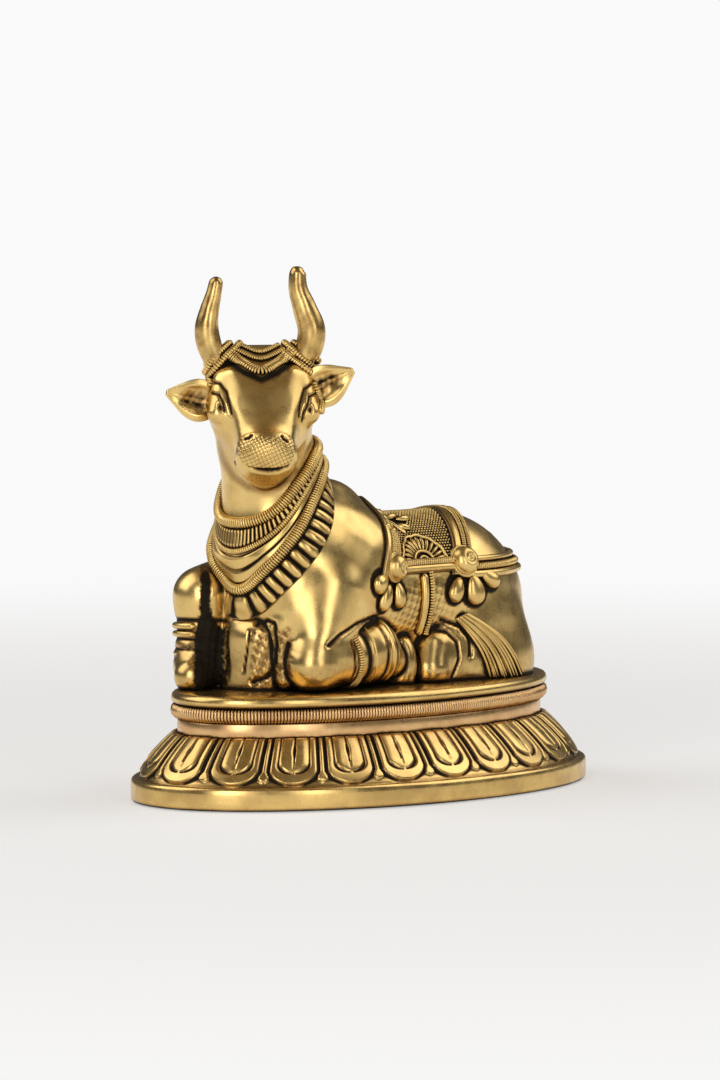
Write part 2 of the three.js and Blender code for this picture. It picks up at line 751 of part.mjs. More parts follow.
function tassels(side, [y, height], from, to, count) {
  const grid = TASSEL_ROWS.map(([reach, grooveReach]) =>
    Array.from({ length: 2 * count + 1 }, (_, i) => {
      const turn = radians(share(from, to, i / (2 * count)));
      const radius = TASSEL_REACH * (i % 2 ? reach : grooveReach);
      return flankStation(side, [y + radius * Math.sin(turn), height - radius * Math.cos(turn)]);
    }),
  );
  return relief(grid, (r, i) => TASSEL_RELIEF * (i % 2 ? TASSEL_ROWS[r][2] : GROOVE), SHELL_DEPTH);
}

// Two cords run down the flank under the middle of the cloth.
const GIRTH_LINES = [2.5, 3.5, 4.6, 5.7, 6.8];
const GIRTH_HEIGHTS = [24, 18, 12];

function girth(side) {
  const grid = GIRTH_LINES.map((y) => flankLine(side, GIRTH_HEIGHTS.map((height) => [y, height])));
  return relief(grid, (r) => GIRTH_RELIEF * (r % 2 ? 1 : GROOVE), SHELL_DEPTH);
}

function sideHarness(side) {
  return [
    girth(side),
    tassels(side, FRONT_BOSS, -55, 15, 3),
    tassels(side, REAR_BOSS, -40, 75, 4),
    boss(side, FRONT_BOSS),
    boss(side, REAR_BOSS),
  ];
}

// A strap passes from each rear boss round the rump.
const RUMP_MIDDLE = 20;
const RUMP_STRAP_HEIGHT = 25.5;

function rumpStrap() {
  const rows = [-0.5, -0.3, 0.3, 0.5].map((across) =>
    Array.from({ length: 11 }, (_, i) => {
      const turn = radians(share(-96, 96, i / 10));
      const [side, back] = [Math.sin(turn), Math.cos(turn)];
      const height = RUMP_STRAP_HEIGHT + (across * RUMP_STRAP_WIDTH) / FIGURE;
      return castOnBull([side * FAR_OFF, RUMP_MIDDLE + back * FAR_OFF, height], [-side, -back, 0]);
    }),
  );
  return relief(rows, (r) => (r % 3 ? STRAP_RELIEF : STRAP_RELIEF * 0.4), SHELL_DEPTH);
}

// The fan in the saddle cloth's pattern: ribs round a half ring, with a groove between each two.
const FAN_MIDDLE = [4.6, 27.6];
const FAN_RADIUS = 5.4;

function fan(side) {
  const ribs = 5;
  const rows = [0.4, 1].map((size) =>
    flankLine(
      side,
      Array.from({ length: 2 * ribs + 1 }, (_, i) => {
        const turn = radians(share(2, 178, i / (2 * ribs)));
        const radius = FAN_RADIUS * size;
        return [FAN_MIDDLE[0] - radius * Math.cos(turn), FAN_MIDDLE[1] + radius * Math.sin(turn)];
      }),
    ),
  );
  return relief(rows, (r, i) => CLOTH_RELIEF + (i % 2 ? FAN_RELIEF : 0), SHELL_DEPTH);
}

// The tail's tuft lies over the left haunch, in strands that spread downwards.
function tuft() {
  const strands = 4;
  const rows = [
    [[14, 15], [17, 15.5]],
    [[17.5, 8], [24, 9]],
    [[21.5, 0], [33, 0]],
  ].map(([front, rear]) =>
    flankLine(
      1,
      Array.from({ length: 2 * strands + 1 }, (_, i) => {
        const t = i / (2 * strands);
        return [share(front[0], rear[0], t), share(front[1], rear[1], t)];
      }),
    ),
  );
  return relief(rows, (r, i) => (i % 2 ? TUFT_RELIEF : TUFT_RELIEF * 0.4), SHELL_DEPTH);
}

// A ring round a limb, at a share of the way along it.
function anklet(start, end, at, radius) {
  const [from, to] = [figurePlace(start), figurePlace(end)];
  const ring = new THREE.TorusGeometry(radius * FIGURE, ANKLET_RELIEF, 4, 8);
  const along = to.clone().sub(from).normalize();
  ring.applyQuaternion(new THREE.Quaternion().setFromUnitVectors(UPWARDS, along));
  const middle = from.clone().lerp(to, at);
  ring.translate(middle.x, middle.y, middle.z);
  return solidOf(ring);
}

function anklets() {
  return [
    anklet(RIGHT_KNEE, RIGHT_FETLOCK, 0.66, 5.6),
    anklet(LEFT_KNEE, LEFT_FETLOCK, 0.6, 6.2),
    anklet(LEFT_KNEE, LEFT_FETLOCK, 0.85, 6.4),
  ];
}

// Horns: [to the head's left, forwards, up from the poll, radius].
const RIGHT_HORN = [
  [-10, 0, -4, 2.4],
  [-11.6, 0.4, 0.2, 2.8],
  [-12.3, 0.8, 4, 2.7],
  [-11.7, 1.2, 8, 2.2],
  [-10.7, 1.4, 12, 1.75],
  [-10.2, 1.4, 14.4, 1.5],
  [-10, 1.4, 15.5, 0.9],
];
const LEFT_HORN = [
  [9, 0, -4, 2.6],
  [10.9, 0.4, 0, 3.1],
  [11.2, 0.8, 4, 3.1],
  [9.7, 1.2, 8.5, 2.7],
  [8.3, 1.4, 12.5, 2.2],
  [8.1, 1.4, 16.2, 1.9],
  [8.5, 1.4, 18, 1],
];

function horn(points) {
  const stations = points.map(([left, front, up]) => ({
    at: figurePlace(headPlace([left, front, up])),
    out: HEADING,
  }));
  const last = points.length - 1;
  return sweep(stations, roundSection(1, 8), (t) => points[Math.round(t * last)][3] * FIGURE);
}

// Ears: hollow leaves that open forwards, by root and tip.
const RIGHT_EAR = { root: [-11, 3, -12.6], tip: [-21.8, 4.5, -10] };
const LEFT_EAR = { root: [11, 3, -10.5], tip: [20.6, 4.5, -5.2] };
const EAR_HALF_WIDTHS = [3, 4.1, 4.2, 3.4, 2, 0.5];
const EAR_CUP = [[-1, 0.15], [-0.6, -0.3], [0, -0.5], [0.6, -0.3], [1, 0.15], [0.4, -0.05], [-0.4, -0.05]];

function ear({ root, tip }) {
  const last = EAR_HALF_WIDTHS.length - 1;
  const stations = EAR_HALF_WIDTHS.map((_, i) => ({
    at: figurePlace(headPlace(root.map((c, axis) => share(c, tip[axis], i / last)))),
    out: HEADING,
  }));
  return sweep(stations, EAR_CUP, (t) => EAR_HALF_WIDTHS[Math.round(t * last)] * FIGURE);
}

// The headdress lies on the head where a look straight at the face meets it: [left, up] from the poll.
function faceStation([left, up]) {
  return castOnBull(headPlace([left, FAR_OFF, up]), [-HEADING.x, -HEADING.y, 0]);
}

// Each band is the line of its upper edge and its width.
const HEAD_BANDS = [
  { edge: [[-7, -0.9], [-3.4, -3.9], [0, -5.1], [3.4, -3.9], [6.8, -0.9]], width: 2.4 },
  { edge: [[-5.6, 0.6], [-9.6, -2.6], [-12.6, -6.6]], width: 3.4 },
  { edge: [[5.8, 0.6], [9.4, -1.8], [12.6, -4.6]], width: 3.4 },
];

function headBand({ edge, width }) {
  const rows = [0, 0.5, 1].map((down) =>
    edge.map(([left, up]) => faceStation([left - Math.sign(left) * down * width * 0.5, up - down * width])),
  );
  return relief(rows, (r) => HEAD_ROPE_RELIEF * (r === 1 ? 1 : 0.4), SHELL_DEPTH);
}

const bull = joined([
  plinth(),
  skinOf(bullField, bullGrid()),
  horn(RIGHT_HORN),
  horn(LEFT_HORN),
  ear(RIGHT_EAR),
  ear(LEFT_EAR),
  ...HEAD_BANDS.map(headBand),
  necklaces(),
  lappets(),
  saddleCloth(),
  ...mirrored(sideHarness).flat(),
  ...mirrored(fan),
  rumpStrap(),
  tuft(),
  ...anklets(),
]);

const brass = new THREE.MeshStandardMaterial({ color: 0xc79a45, roughness: 0.3, metalness: 1 });
const nandi = new THREE.Group();
const figure = new THREE.Mesh(geometryFrom(bull), brass);
figure.name = "nandi_figure";
nandi.add(figure);

export default nandi;
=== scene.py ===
# Nandi, the couchant bull on an oval lotus plinth, cast in brass: the carved and chased surface.
# Sizes are in millimetres in the row's frame until a mesh is made. +X is the bull's left, -Y its front.

import math

import bpy
import numpy as np
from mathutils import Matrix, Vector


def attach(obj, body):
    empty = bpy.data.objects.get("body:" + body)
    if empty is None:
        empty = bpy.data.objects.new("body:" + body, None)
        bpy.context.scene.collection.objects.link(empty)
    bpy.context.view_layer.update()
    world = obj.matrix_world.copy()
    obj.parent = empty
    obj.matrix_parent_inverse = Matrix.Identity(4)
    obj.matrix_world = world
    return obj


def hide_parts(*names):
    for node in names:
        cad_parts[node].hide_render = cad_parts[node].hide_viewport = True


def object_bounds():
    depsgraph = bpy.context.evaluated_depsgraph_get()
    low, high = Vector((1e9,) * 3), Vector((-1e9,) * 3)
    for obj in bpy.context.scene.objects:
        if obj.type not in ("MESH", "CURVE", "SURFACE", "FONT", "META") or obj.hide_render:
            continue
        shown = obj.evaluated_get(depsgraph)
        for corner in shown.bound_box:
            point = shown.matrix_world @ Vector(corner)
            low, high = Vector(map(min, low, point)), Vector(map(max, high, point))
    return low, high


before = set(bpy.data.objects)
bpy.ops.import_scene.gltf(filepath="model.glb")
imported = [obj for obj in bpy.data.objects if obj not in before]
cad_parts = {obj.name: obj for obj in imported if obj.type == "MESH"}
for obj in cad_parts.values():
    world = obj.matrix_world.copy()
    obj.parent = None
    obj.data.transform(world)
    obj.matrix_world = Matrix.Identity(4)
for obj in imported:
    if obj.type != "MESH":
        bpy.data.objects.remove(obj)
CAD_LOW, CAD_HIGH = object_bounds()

import openvdb
from mathutils import Vector

MM = 0.001
ROOT = "root"
NODE = "nandi_figure"

# Plinth. The outline is the frame's own, so it stays inside the box of the cast solid.
HALF_WIDTH = CAD_HIGH.x / MM
HALF_LENGTH = CAD_HIGH.y / MM
FOOT_HEIGHT = 5.2
FOOT_LEDGE = 1.4
LOTUS_STEP = 0.6
LOTUS_HEIGHT = 10
LOTUS_SPREAD = 9
BAND_HEIGHT = 3.4
ROLL_HEIGHT = 3.4
ROLL_BULGE = 1.6
SLAB_THICKNESS = 2.7
SLAB_OVERHANG = 1.5
PETAL_COUNT = 22
PETAL_RELIEF = 0.9
PETAL_START = 0.75

LOTUS_BASE = FOOT_HEIGHT
BAND_BASE = LOTUS_BASE + LOTUS_HEIGHT
ROLL_BASE = BAND_BASE + BAND_HEIGHT
SLAB_BASE = ROLL_BASE + ROLL_HEIGHT
SLAB_TOP = SLAB_BASE + SLAB_THICKNESS
BAND_INSET = FOOT_LEDGE + LOTUS_SPREAD + LOTUS_STEP

BODY_CELL = 0.46
HEAD_CELL = 0.3


# Arithmetic on arrays of places.


def unit(ways):
    return ways / np.maximum(np.linalg.norm(ways, axis=-1, keepdims=True), 1e-9)


def round_turns(count):
    """Evenly spaced turns round a circle, from 0 up."""
    return 2 * np.pi * np.arange(count) / count


def running_lengths(places):
    """How far along a line each of its places lies."""
    return np.concatenate([[0], np.cumsum(np.linalg.norm(np.diff(places, axis=0), axis=1))])


def smoothstep(low, high, value):
    t = np.clip((value - low) / (high - low), 0, 1)
    return t * t * (3 - 2 * t)


def bell(value, width):
    return np.exp(-((value / width) ** 2))


def eased(pairs, value):
    """A height along a necklace, by cosine steps between its [turn, height] pairs."""
    turns, heights = np.array(pairs, float).T
    value = np.abs(value)
    slopes = np.gradient(heights, turns)
    slopes[0] = 0
    slopes[-1] = 0
    n = np.clip(np.searchsorted(turns, value) - 1, 0, len(turns) - 2)
    span = turns[n + 1] - turns[n]
    t = np.clip((value - turns[n]) / span, 0, 1)
    rest = 1 - t
    near = heights[n] * (1 + 2 * t) * rest**2 + slopes[n] * span * t * rest**2
    far = heights[n + 1] * (3 - 2 * t) * t**2 - slopes[n + 1] * span * rest * t**2
    return near + far


# Fields. A field gives a place's gap to a form, below zero inside it.
# Places are [x, y, height over the slab]. A softness is how wide the joint between two forms is rounded.

LIMB_SOFTNESS = 1.6
NECK_SOFTNESS = 2.5
HIND_SOFTNESS = 1.2
FAR_GAP = 1e3


def ball(p, centre, radii):
    radii = np.array(radii, np.float32)
    away = (p - np.array(centre, np.float32)) / radii
    near = np.linalg.norm(away, axis=-1)
    steep = np.linalg.norm(away / radii, axis=-1)
    return near * (near - 1) / np.maximum(steep, 1e-6)


def bone(p, start, start_radius, end, end_radius):
    start = np.array(start, np.float32)
    way = np.array(end, np.float32) - start
    away = p - start
    t = np.clip((away @ way) / (way @ way), 0, 1)
    gap = np.linalg.norm(away - t[..., None] * way, axis=-1)
    return gap - (start_radius + (end_radius - start_radius) * t)


def blended(softness, gaps):
    whole = gaps[0]
    for gap in gaps[1:]:
        mix = np.maximum(softness - np.abs(whole - gap), 0) / softness
        whole = np.minimum(whole, gap) - mix * mix * softness * 0.25
    return whole


def both_sides(make):
    return [make(1), make(-1)]


# Body and legs, in the pose of the cast solid.


def trunk(p):
    barrel = bone(p, [0, -14, 20.5], 17.2, [0, 21, 20.3], 16.9)
    belly = bone(p, [0, -16, 6], 11.5, [0, 24, 6], 12)
    rump = ball(p, [0, 25.7, 16.2], [16, 20, 18.8])
    chest = ball(p, [0, -21.5, 24], [17.6, 15, 20])
    hump = ball(p, [0, -12.5, 35.5], [9, 12, 11])
    haunches = both_sides(lambda side: ball(p, [side * 9.5, 25.6, 3.5], [10.6, 17.3, 14.5]))
    shoulders = both_sides(lambda side: bone(p, [side * 7.5, -12, 30], 10.5, [side * 9, -23, 15], 9.5))
    return blended(5, [barrel, belly, rump, chest, hump, *haunches, *shoulders])


def dewlap_folds(p):
    brisket = bone(p, [1.2, -31.8, 11.5], 6, [1, -32, -1], 5.4)
    fold = bone(p, [8, -31.5, 15], 2.8, [9, -31, 3], 2.6)
    breast = bone(p, [-3.6, -35.4, -1], 3.6, [-3, -33.6, 21], 3.4)
    return brisket, fold, breast


def dewlap(p):
    ridge = bone(p, [0, -31.5, 38], 3.4, [0, -34.6, 20], 2.8)
    brisket, fold, breast = dewlap_folds(p)
    return blended(3, [ridge, brisket, fold, breast])


RIGHT_KNEE = [-12, -37.8, 20.6]
RIGHT_FETLOCK = [-11.6, -38.6, 5.5]
RIGHT_HOOF = [-8.6, -44, 3]
LEFT_KNEE = [13.8, -27.5, 6.2]
LEFT_FETLOCK = [13.5, -11, 8.2]
LEFT_HOOF = [14.5, -4.4, 5.6]
LEFT_SHANK = [LEFT_KNEE, LEFT_FETLOCK]
RIGHT_SHANK = [RIGHT_KNEE, RIGHT_FETLOCK]


def left_shank(p):
    return bone(p, LEFT_KNEE, 5.8, LEFT_FETLOCK, 7.1)


def right_shank(p):
    return bone(p, RIGHT_KNEE, 5.9, RIGHT_FETLOCK, 5.6)


def raised_foreleg(p):
    upper = bone(p, [-11, -22, 25], 8, RIGHT_KNEE, 5.9)
    hoof = bone(p, RIGHT_FETLOCK, 5.6, RIGHT_HOOF, 4)
    return blended(3, [upper, right_shank(p), hoof])


def folded_foreleg(p):
    upper = bone(p, [10.5, -21, 22], 9, LEFT_KNEE, 5.8)
    hoof = bone(p, LEFT_FETLOCK, 7, LEFT_HOOF, 3.6)
    return blended(3, [upper, left_shank(p), hoof])


def hocks(p):
    pair = both_sides(lambda side: bone(p, [side * 14.3, 7.4, 3], 4.8, [side * 13.6, 9, 8], 4.1))
    return blended(1, pair)


def thighs(p):
    return blended(1, both_sides(lambda side: ball(p, [side * 12, 12.5, 4], [6.2, 9, 10.8])))


def bent_hind_legs(p):
    return blended(HIND_SOFTNESS, [hocks(p), thighs(p)])


def hind_hooves(p):
    return blended(1, both_sides(lambda side: ball(p, [side * 12.6, -0.6, 4.3], [5, 3.8, 7.8])))


def hind_legs(p):
    return blended(HIND_SOFTNESS, [bent_hind_legs(p), hind_hooves(p)])


def tail(p):
    root = bone(p, [0, 38, 29], 3.2, [0, 44.5, 20], 2.8)
    middle = bone(p, [0, 44.5, 20], 2.8, [-1, 46, 8], 2.5)
    end = bone(p, [-1, 46, 8], 2.5, [-3, 43.5, 0], 2.6)
    return blended(2, [root, middle, end])


def neck(p):
    lower = bone(p, [-0.8, -24.2, 33], 15.2, [-0.5, -27, 48], 10.4)
    upper = bone(p, [-0.5, -27, 48], 10.4, [-1, -29.5, 62], 9)
    return blended(4, [lower, upper])


def throat(p):
    return bone(p, [5, -34, 56], 8, [2, -31, 46], 5)


# Head, in its own frame: [to its left, along the face from the poll, out of the forehead].

POLL = np.array([0, -30.7, 77])
HEAD_TURN = math.radians(52.5)
HEAD_PITCH = math.radians(46)
UP = np.array([0, 0, 1.0])
HEADING = np.array([math.sin(HEAD_TURN), -math.cos(HEAD_TURN), 0])
HEAD_LEFT = np.array([math.cos(HEAD_TURN), math.sin(HEAD_TURN), 0])
FACEWARDS = HEADING * math.cos(HEAD_PITCH) - UP * math.sin(HEAD_PITCH)
FOREHEAD = HEADING * math.sin(HEAD_PITCH) + UP * math.cos(HEAD_PITCH)
HEAD_AXES = np.array([HEAD_LEFT, FACEWARDS, FOREHEAD], np.float32).T


def head(p):
    q = (p - POLL.astype(np.float32)) @ HEAD_AXES
    skull = ball(q, [0, 10.5, -9], [12.1, 12.5, 10])
    poll = bone(q, [-9, 1.5, -3.8], 3.9, [9.2, 1.5, -3.8], 4)
    brows = both_sides(lambda side: bone(q, [side * 8.6, 8, -2.6], 2.4, [side * 10.4, 15.5, -5], 2.2))
    ridges = both_sides(lambda side: bone(q, [side * 5.6, 8, -1.4], 2.6, [side * 3.8, 22, -4.2], 2.2))
    bridge = bone(q, [0, 12, -6.8], 6.6, [0, 25, -6.2], 5.2)
    muzzle = ball(q, [0, 27.2, -6.6], [6.9, 4.8, 7])
    chin = bone(q, [0, 17, -15], 6, [0, 26.5, -11.6], 3.9)
    cheeks = ball(q, [0, 14, -16], [9.9, 11.5, 8.5])
    eyes = both_sides(lambda side: ball(q, [side * 10.6, 12.4, -6.4], [1.6, 2.3, 1.9]))
    return blended(2.5, [skull, poll, *brows, *ridges, bridge, muzzle, chin, cheeks, *eyes])


def body(p):
    legs = [raised_foreleg(p), folded_foreleg(p), hind_legs(p)]
    return blended(LIMB_SOFTNESS, [trunk(p), dewlap(p), *legs, tail(p)])


def bull_without_head(p):
    return blended(NECK_SOFTNESS, [body(p), neck(p)])


def bull(p):
    return blended(NECK_SOFTNESS, [bull_without_head(p), head(p), throat(p)])


def breast_and_neck(p):
    return blended(NECK_SOFTNESS, [blended(LIMB_SOFTNESS, [trunk(p), dewlap(p)]), neck(p)])


def upper_bull(p):
    return blended(NECK_SOFTNESS, [breast_and_neck(p), head(p), throat(p)])


def slope(field, p):
    step = 0.05
    ways = np.eye(3, dtype=np.float32) * step
    return np.stack([field(p + way) - field(p - way) for way in ways], axis=-1) / (2 * step)


def settled(field, places, steps):
    """Places near the skin of a field, moved onto it, with its outward ways there."""
    for _ in range(steps):
        places = places - unit(slope(field, places)) * field(places)[..., None]
    return places, unit(slope(field, places))


CAST_STEPS = 70
CAST_STRIDE = 0.7


def cast(field, starts, ways):
    """Where lines from outside meet the skin of a field, and the skin's outward ways."""
    at = np.array(starts, np.float32)
    ways = unit(np.broadcast_to(ways, at.shape)).astype(np.float32)
    best = at.copy()
    least = np.full(at.shape[:-1], FAR_GAP, np.float32)
    for _ in range(CAST_STEPS):
        gap = field(at)
        closer = gap < least
        least = np.where(closer, gap, least)
        best = np.where(closer[..., None], at, best)
        at = at + ways * (np.maximum(gap, 0) * CAST_STRIDE)[..., None]
    return settled(field, best, 4)


NECK_MIDDLE = -24
BARREL_MIDDLE = 20
FAR_OFF = 60


def on_neck(turns, heights):
    """Places round the neck and breast, by turn from the front in degrees and by height."""
    turns = np.radians(turns)
    ways = np.stack([np.sin(turns), -np.cos(turns), np.zeros_like(turns)], axis=-1)
    middles = np.stack([np.zeros_like(turns), np.full_like(turns, NECK_MIDDLE), heights], -1)
    return cast(bull_without_head, ways * FAR_OFF + middles, -ways)


def on_barrel(angles, ys):
    """Places over the back, by angle from straight up in degrees and by place along Y."""
    angles = np.radians(angles)
    ways = np.stack([np.sin(angles), np.zeros_like(angles), np.cos(angles)], axis=-1)
    middles = np.stack([np.zeros_like(ys), ys, np.full_like(ys, BARREL_MIDDLE)], -1)
    return cast(bull_without_head, ways * FAR_OFF + middles, -ways)


def on_flank(side, ys, heights):
    """Places met by a look straight at one side of the bull."""
    starts = np.stack([np.full_like(ys, side * FAR_OFF), ys, heights], -1)
    return cast(bull_without_head, starts, np.array([-side, 0, 0]))


def on_face(lefts, ups):
    """Places met by a look straight at the face, from how far left of the poll and above it they are."""
    starts = POLL + HEAD_LEFT * lefts[..., None] + HEADING * FAR_OFF + UP * ups[..., None]
    return cast(bull, starts, -HEADING)


# Meshes.


def above_slab(points):
    return np.asarray(points, float) + UP * SLAB_TOP


def mesh_of(name, points, faces, patina=None):
    """A mesh from points in millimetres. Its patina says how dark each point is, from 0 to 1: patina, and on
    some pieces painted shade.
    """
    mesh = bpy.data.meshes.new(name)
    mesh.from_pydata((np.asarray(points) * MM).tolist(), [], faces)
    if patina is not None:
        mesh.attributes.new("patina", "FLOAT", "POINT").data.foreach_set("value", patina.astype(np.float32))
    return mesh


def shade_smooth(mesh):
    mesh.polygons.foreach_set("use_smooth", np.ones(len(mesh.polygons), bool))


def make_piece(name, points, faces, material, patina):
    mesh = mesh_of(name, points, faces, patina)
    mesh.validate()
    finish_piece(name, mesh, material)


def finish_piece(name, mesh, material):
    mesh.materials.clear()
    mesh.materials.append(material)
    shade_smooth(mesh)
    piece = bpy.data.objects.new(name, mesh)
    bpy.context.scene.collection.objects.link(piece)
    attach(piece, ROOT)
    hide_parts(NODE)


def lofted(rings, capped=True):
    """Points and faces through closed rings of equal length, from the first up to the last."""
    rings = np.asarray(rings, float)
    count, size = rings.shape[:2]
    here = np.arange(size)
    after = np.roll(here, -1)
    starts = np.arange(count - 1)[:, None] * size
    faces = np.stack([starts + here, starts + after, starts + size + after, starts + size + here], -1)
    faces = faces.reshape(-1, 4).tolist()
    if capped:
        faces.append(here[::-1].tolist())
        faces.append((here + (count - 1) * size).tolist())
    return rings.reshape(-1, 3), faces


def turned_out(points, faces, face, way):
    """The faces, all turned over if the given one of them looks against the way out."""
    corners = points[face[:3]]
    facing = np.cross(corners[1] - corners[0], corners[2] - corners[0]) @ way
    return faces if facing > 0 else [face[::-1] for face in faces]


SHEET_SUNK = 0.9


def sheet(places, outs, lifts):
    """Points and faces of relief over a grid of places, with its rim turned down into the skin."""
    rows, columns = lifts.shape
    top = (places + outs * lifts[..., None]).reshape(-1, 3)
    index = np.arange(rows * columns).reshape(rows, columns)
    quads = np.stack([index[:-1, :-1], index[:-1, 1:], index[1:, 1:], index[1:, :-1]], -1).reshape(-1, 4)
    rim = np.concatenate([index[0, :-1], index[:-1, -1], index[-1, :0:-1], index[:0:-1, 0]])
    under = (places - outs * SHEET_SUNK).reshape(-1, 3)[rim]
    base = rows * columns + np.arange(len(rim))
    skirt = np.stack([rim, base, np.roll(base, -1), np.roll(rim, -1)], -1)
    points = np.concatenate([top, under])
    faces = quads.tolist() + skirt.tolist() + [base[::-1].tolist()]
    middle = quads[len(quads) // 2]
    return points, turned_out(points, faces, middle, outs.reshape(-1, 3)[middle[0]])


def swept(places, outs, section):
    """Points and faces of a section swept along places. It has [across, outward] pairs for each station."""
    along = unit(np.gradient(places, axis=0))
    across = unit(np.cross(along, outs))
    outward = unit(np.cross(across, along))
    rings = places[:, None] + across[:, None] * section[..., :1] + outward[:, None] * section[..., 1:]
    return lofted(rings)


def round_section(radii, sides, lift=0.0):
    turns = round_turns(sides)
    circle = np.stack([np.cos(turns), np.sin(turns)], -1)
    return circle * np.asarray(radii)[:, None, None] + np.array([0, lift])


def by_length(places, outs, step):
    """Places and outward ways spaced evenly along a line."""
    lengths = running_lengths(places)
    wanted = np.linspace(0, lengths[-1], max(int(lengths[-1] / step), 2) + 1)

    def evenly(part):
        return np.stack([np.interp(wanted, lengths, part[:, axis]) for axis in range(3)], -1)

    return evenly(places), unit(evenly(outs))


# Geometry Nodes: copies of one small shape, set along a path or at points on the skin.


def copies_tree(name, along_path):
    tree = bpy.data.node_groups.new(name, "GeometryNodeTree")
    for label, kind in (("Path", "Geometry"), ("Copy", "Object"), ("Pitch", "Float"), ("Finish", "Material")):
        tree.interface.new_socket(label, in_out="INPUT", socket_type="NodeSocket" + kind)
    tree.interface.new_socket("Copies", in_out="OUTPUT", socket_type="NodeSocketGeometry")
    link = tree.links.new
    given = tree.nodes.new("NodeGroupInput")
    result = tree.nodes.new("NodeGroupOutput")
    place = tree.nodes.new("GeometryNodeInstanceOnPoints")
    turn = tree.nodes.new("FunctionNodeAxesToRotation")
    turn.primary_axis = "Z"
    turn.secondary_axis = "X"

    def stored(label):
        read = tree.nodes.new("GeometryNodeInputNamedAttribute")
        read.data_type = "FLOAT_VECTOR"
        read.inputs["Name"].default_value = label
        return read.outputs["Attribute"]

    link(stored("out"), turn.inputs[0])
    link(stored("size"), place.inputs["Scale"])
    if along_path:
        curve = tree.nodes.new("GeometryNodeMeshToCurve")
        evenly = tree.nodes.new("GeometryNodeResampleCurve")
        evenly.mode = "LENGTH"
        way = tree.nodes.new("GeometryNodeInputTangent")
        link(given.outputs["Path"], curve.inputs["Mesh"])
        link(curve.outputs["Curve"], evenly.inputs["Curve"])
        link(given.outputs["Pitch"], evenly.inputs["Length"])
        link(evenly.outputs["Curve"], place.inputs["Points"])
        link(way.outputs["Tangent"], turn.inputs[1])
    else:
        link(given.outputs["Path"], place.inputs["Points"])
        link(stored("along"), turn.inputs[1])
    shape = tree.nodes.new("GeometryNodeObjectInfo")
    shape.inputs["As Instance"].default_value = True
    real = tree.nodes.new("GeometryNodeRealizeInstances")
    paint = tree.nodes.new("GeometryNodeSetMaterial")
    link(given.outputs["Copy"], shape.inputs["Object"])
    link(shape.outputs["Geometry"], place.inputs["Instance"])
    link(turn.outputs["Rotation"], place.inputs["Rotation"])
    link(place.outputs["Instances"], real.inputs["Geometry"])
    link(real.outputs["Geometry"], paint.inputs["Geometry"])
    link(given.outputs["Finish"], paint.inputs["Material"])
    link(paint.outputs["Geometry"], result.inputs["Copies"])
    return tree


ALONG_PATH = copies_tree("copies_along_path", True)
AT_POINTS = copies_tree("copies_at_points", False)


def grown(tree, places, copy, material, pitch=1.0, closed=False, **attributes):
    """The plain mesh that a tree grows on a line or a cloud of places."""
    carrier = bpy.data.meshes.new(tree.name)
    count = len(places)
    edges = []
    if tree is ALONG_PATH:
        edges = [(i, (i + 1) % count) for i in range(count if closed else count - 1)]
    carrier.from_pydata((np.asarray(places) * MM).tolist(), edges, [])
    for label, values in attributes.items():
        values = np.broadcast_to(values, (count, 3)).astype(np.float32)
        carrier.attributes.new(label, "FLOAT_VECTOR", "POINT").data.foreach_set("vector", values.ravel())
    holder = bpy.data.objects.new(tree.name, carrier)
    bpy.context.scene.collection.objects.link(holder)
    grow = holder.modifiers.new("copies", "NODES")
    grow.node_group = tree
    wanted = {"Copy": copy, "Pitch": pitch * MM, "Finish": material}
    for item in tree.interface.items_tree:
        if item.in_out == "INPUT" and item.name in wanted:
            grow[item.identifier] = wanted[item.name]
    evaluated = holder.evaluated_get(bpy.context.evaluated_depsgraph_get())
    mesh = bpy.data.meshes.new_from_object(evaluated)
    holder.modifiers.clear()
    bpy.data.objects.remove(holder)
    return mesh


def pattern_shape(name, points, faces, patina=None):
    """A small shape, one unit across, that copies are taken from. It is no piece itself."""
    mesh = mesh_of(name, points, faces, patina)
    shade_smooth(mesh)
    return bpy.data.objects.new(name, mesh)


def fine_bead():
    """A closed dome on a unit circle. Its copies stand upright on the skin."""
    turns = round_turns(6)
    circle = np.stack([np.cos(turns), np.sin(turns), np.zeros(6)], -1)
    levels = []
    for rise in np.linspace(0, 1, 3):
        turn = rise * math.pi * 0.47
        levels.append(circle * math.cos(turn) + UP * (math.sin(turn) - 0.35 * (1 - rise)))
    return pattern_shape("fine_bead_shape", *lofted(levels))


def turned_shape(name, sides, stations, patina=None):
    """A shape that is round about X, the way along its line, through [along, radius] stations."""
    turns = round_turns(sides)
    circle = np.stack([np.zeros(sides), np.cos(turns), np.sin(turns)], -1)
    points, faces = lofted([circle * radius + [along, 0, 0] for along, radius in stations])
    return pattern_shape(name, points, faces, patina)


def rib_shape(name, sides, rings):
    """A coin with a round edge, that stands square to its line, dark towards its two faces."""
    rises = np.linspace(-0.5, 0.5, rings)
    turns = rises * math.pi * 0.96
    patina = np.repeat(smoothstep(0.25, 0.5, np.abs(rises)), sides)
    return turned_shape(name, sides, zip(0.5 * np.sin(turns), 0.7 + 0.3 * np.cos(turns)), patina)


def drop_shape(name, sides, rings):
    """A drop with its narrow end at -1."""
    rises = np.linspace(0.03, 0.97, rings) * math.pi
    alongs = -np.cos(rises)
    return turned_shape(name, sides, zip(alongs, np.sin(rises) * (0.78 + 0.22 * alongs)))


RIB = rib_shape("rib_shape", 12, 5)
FINE_BEAD = fine_bead()
DROP = drop_shape("drop_shape", 20, 14)
SMALL_DROP = drop_shape("small_drop_shape", 8, 6)


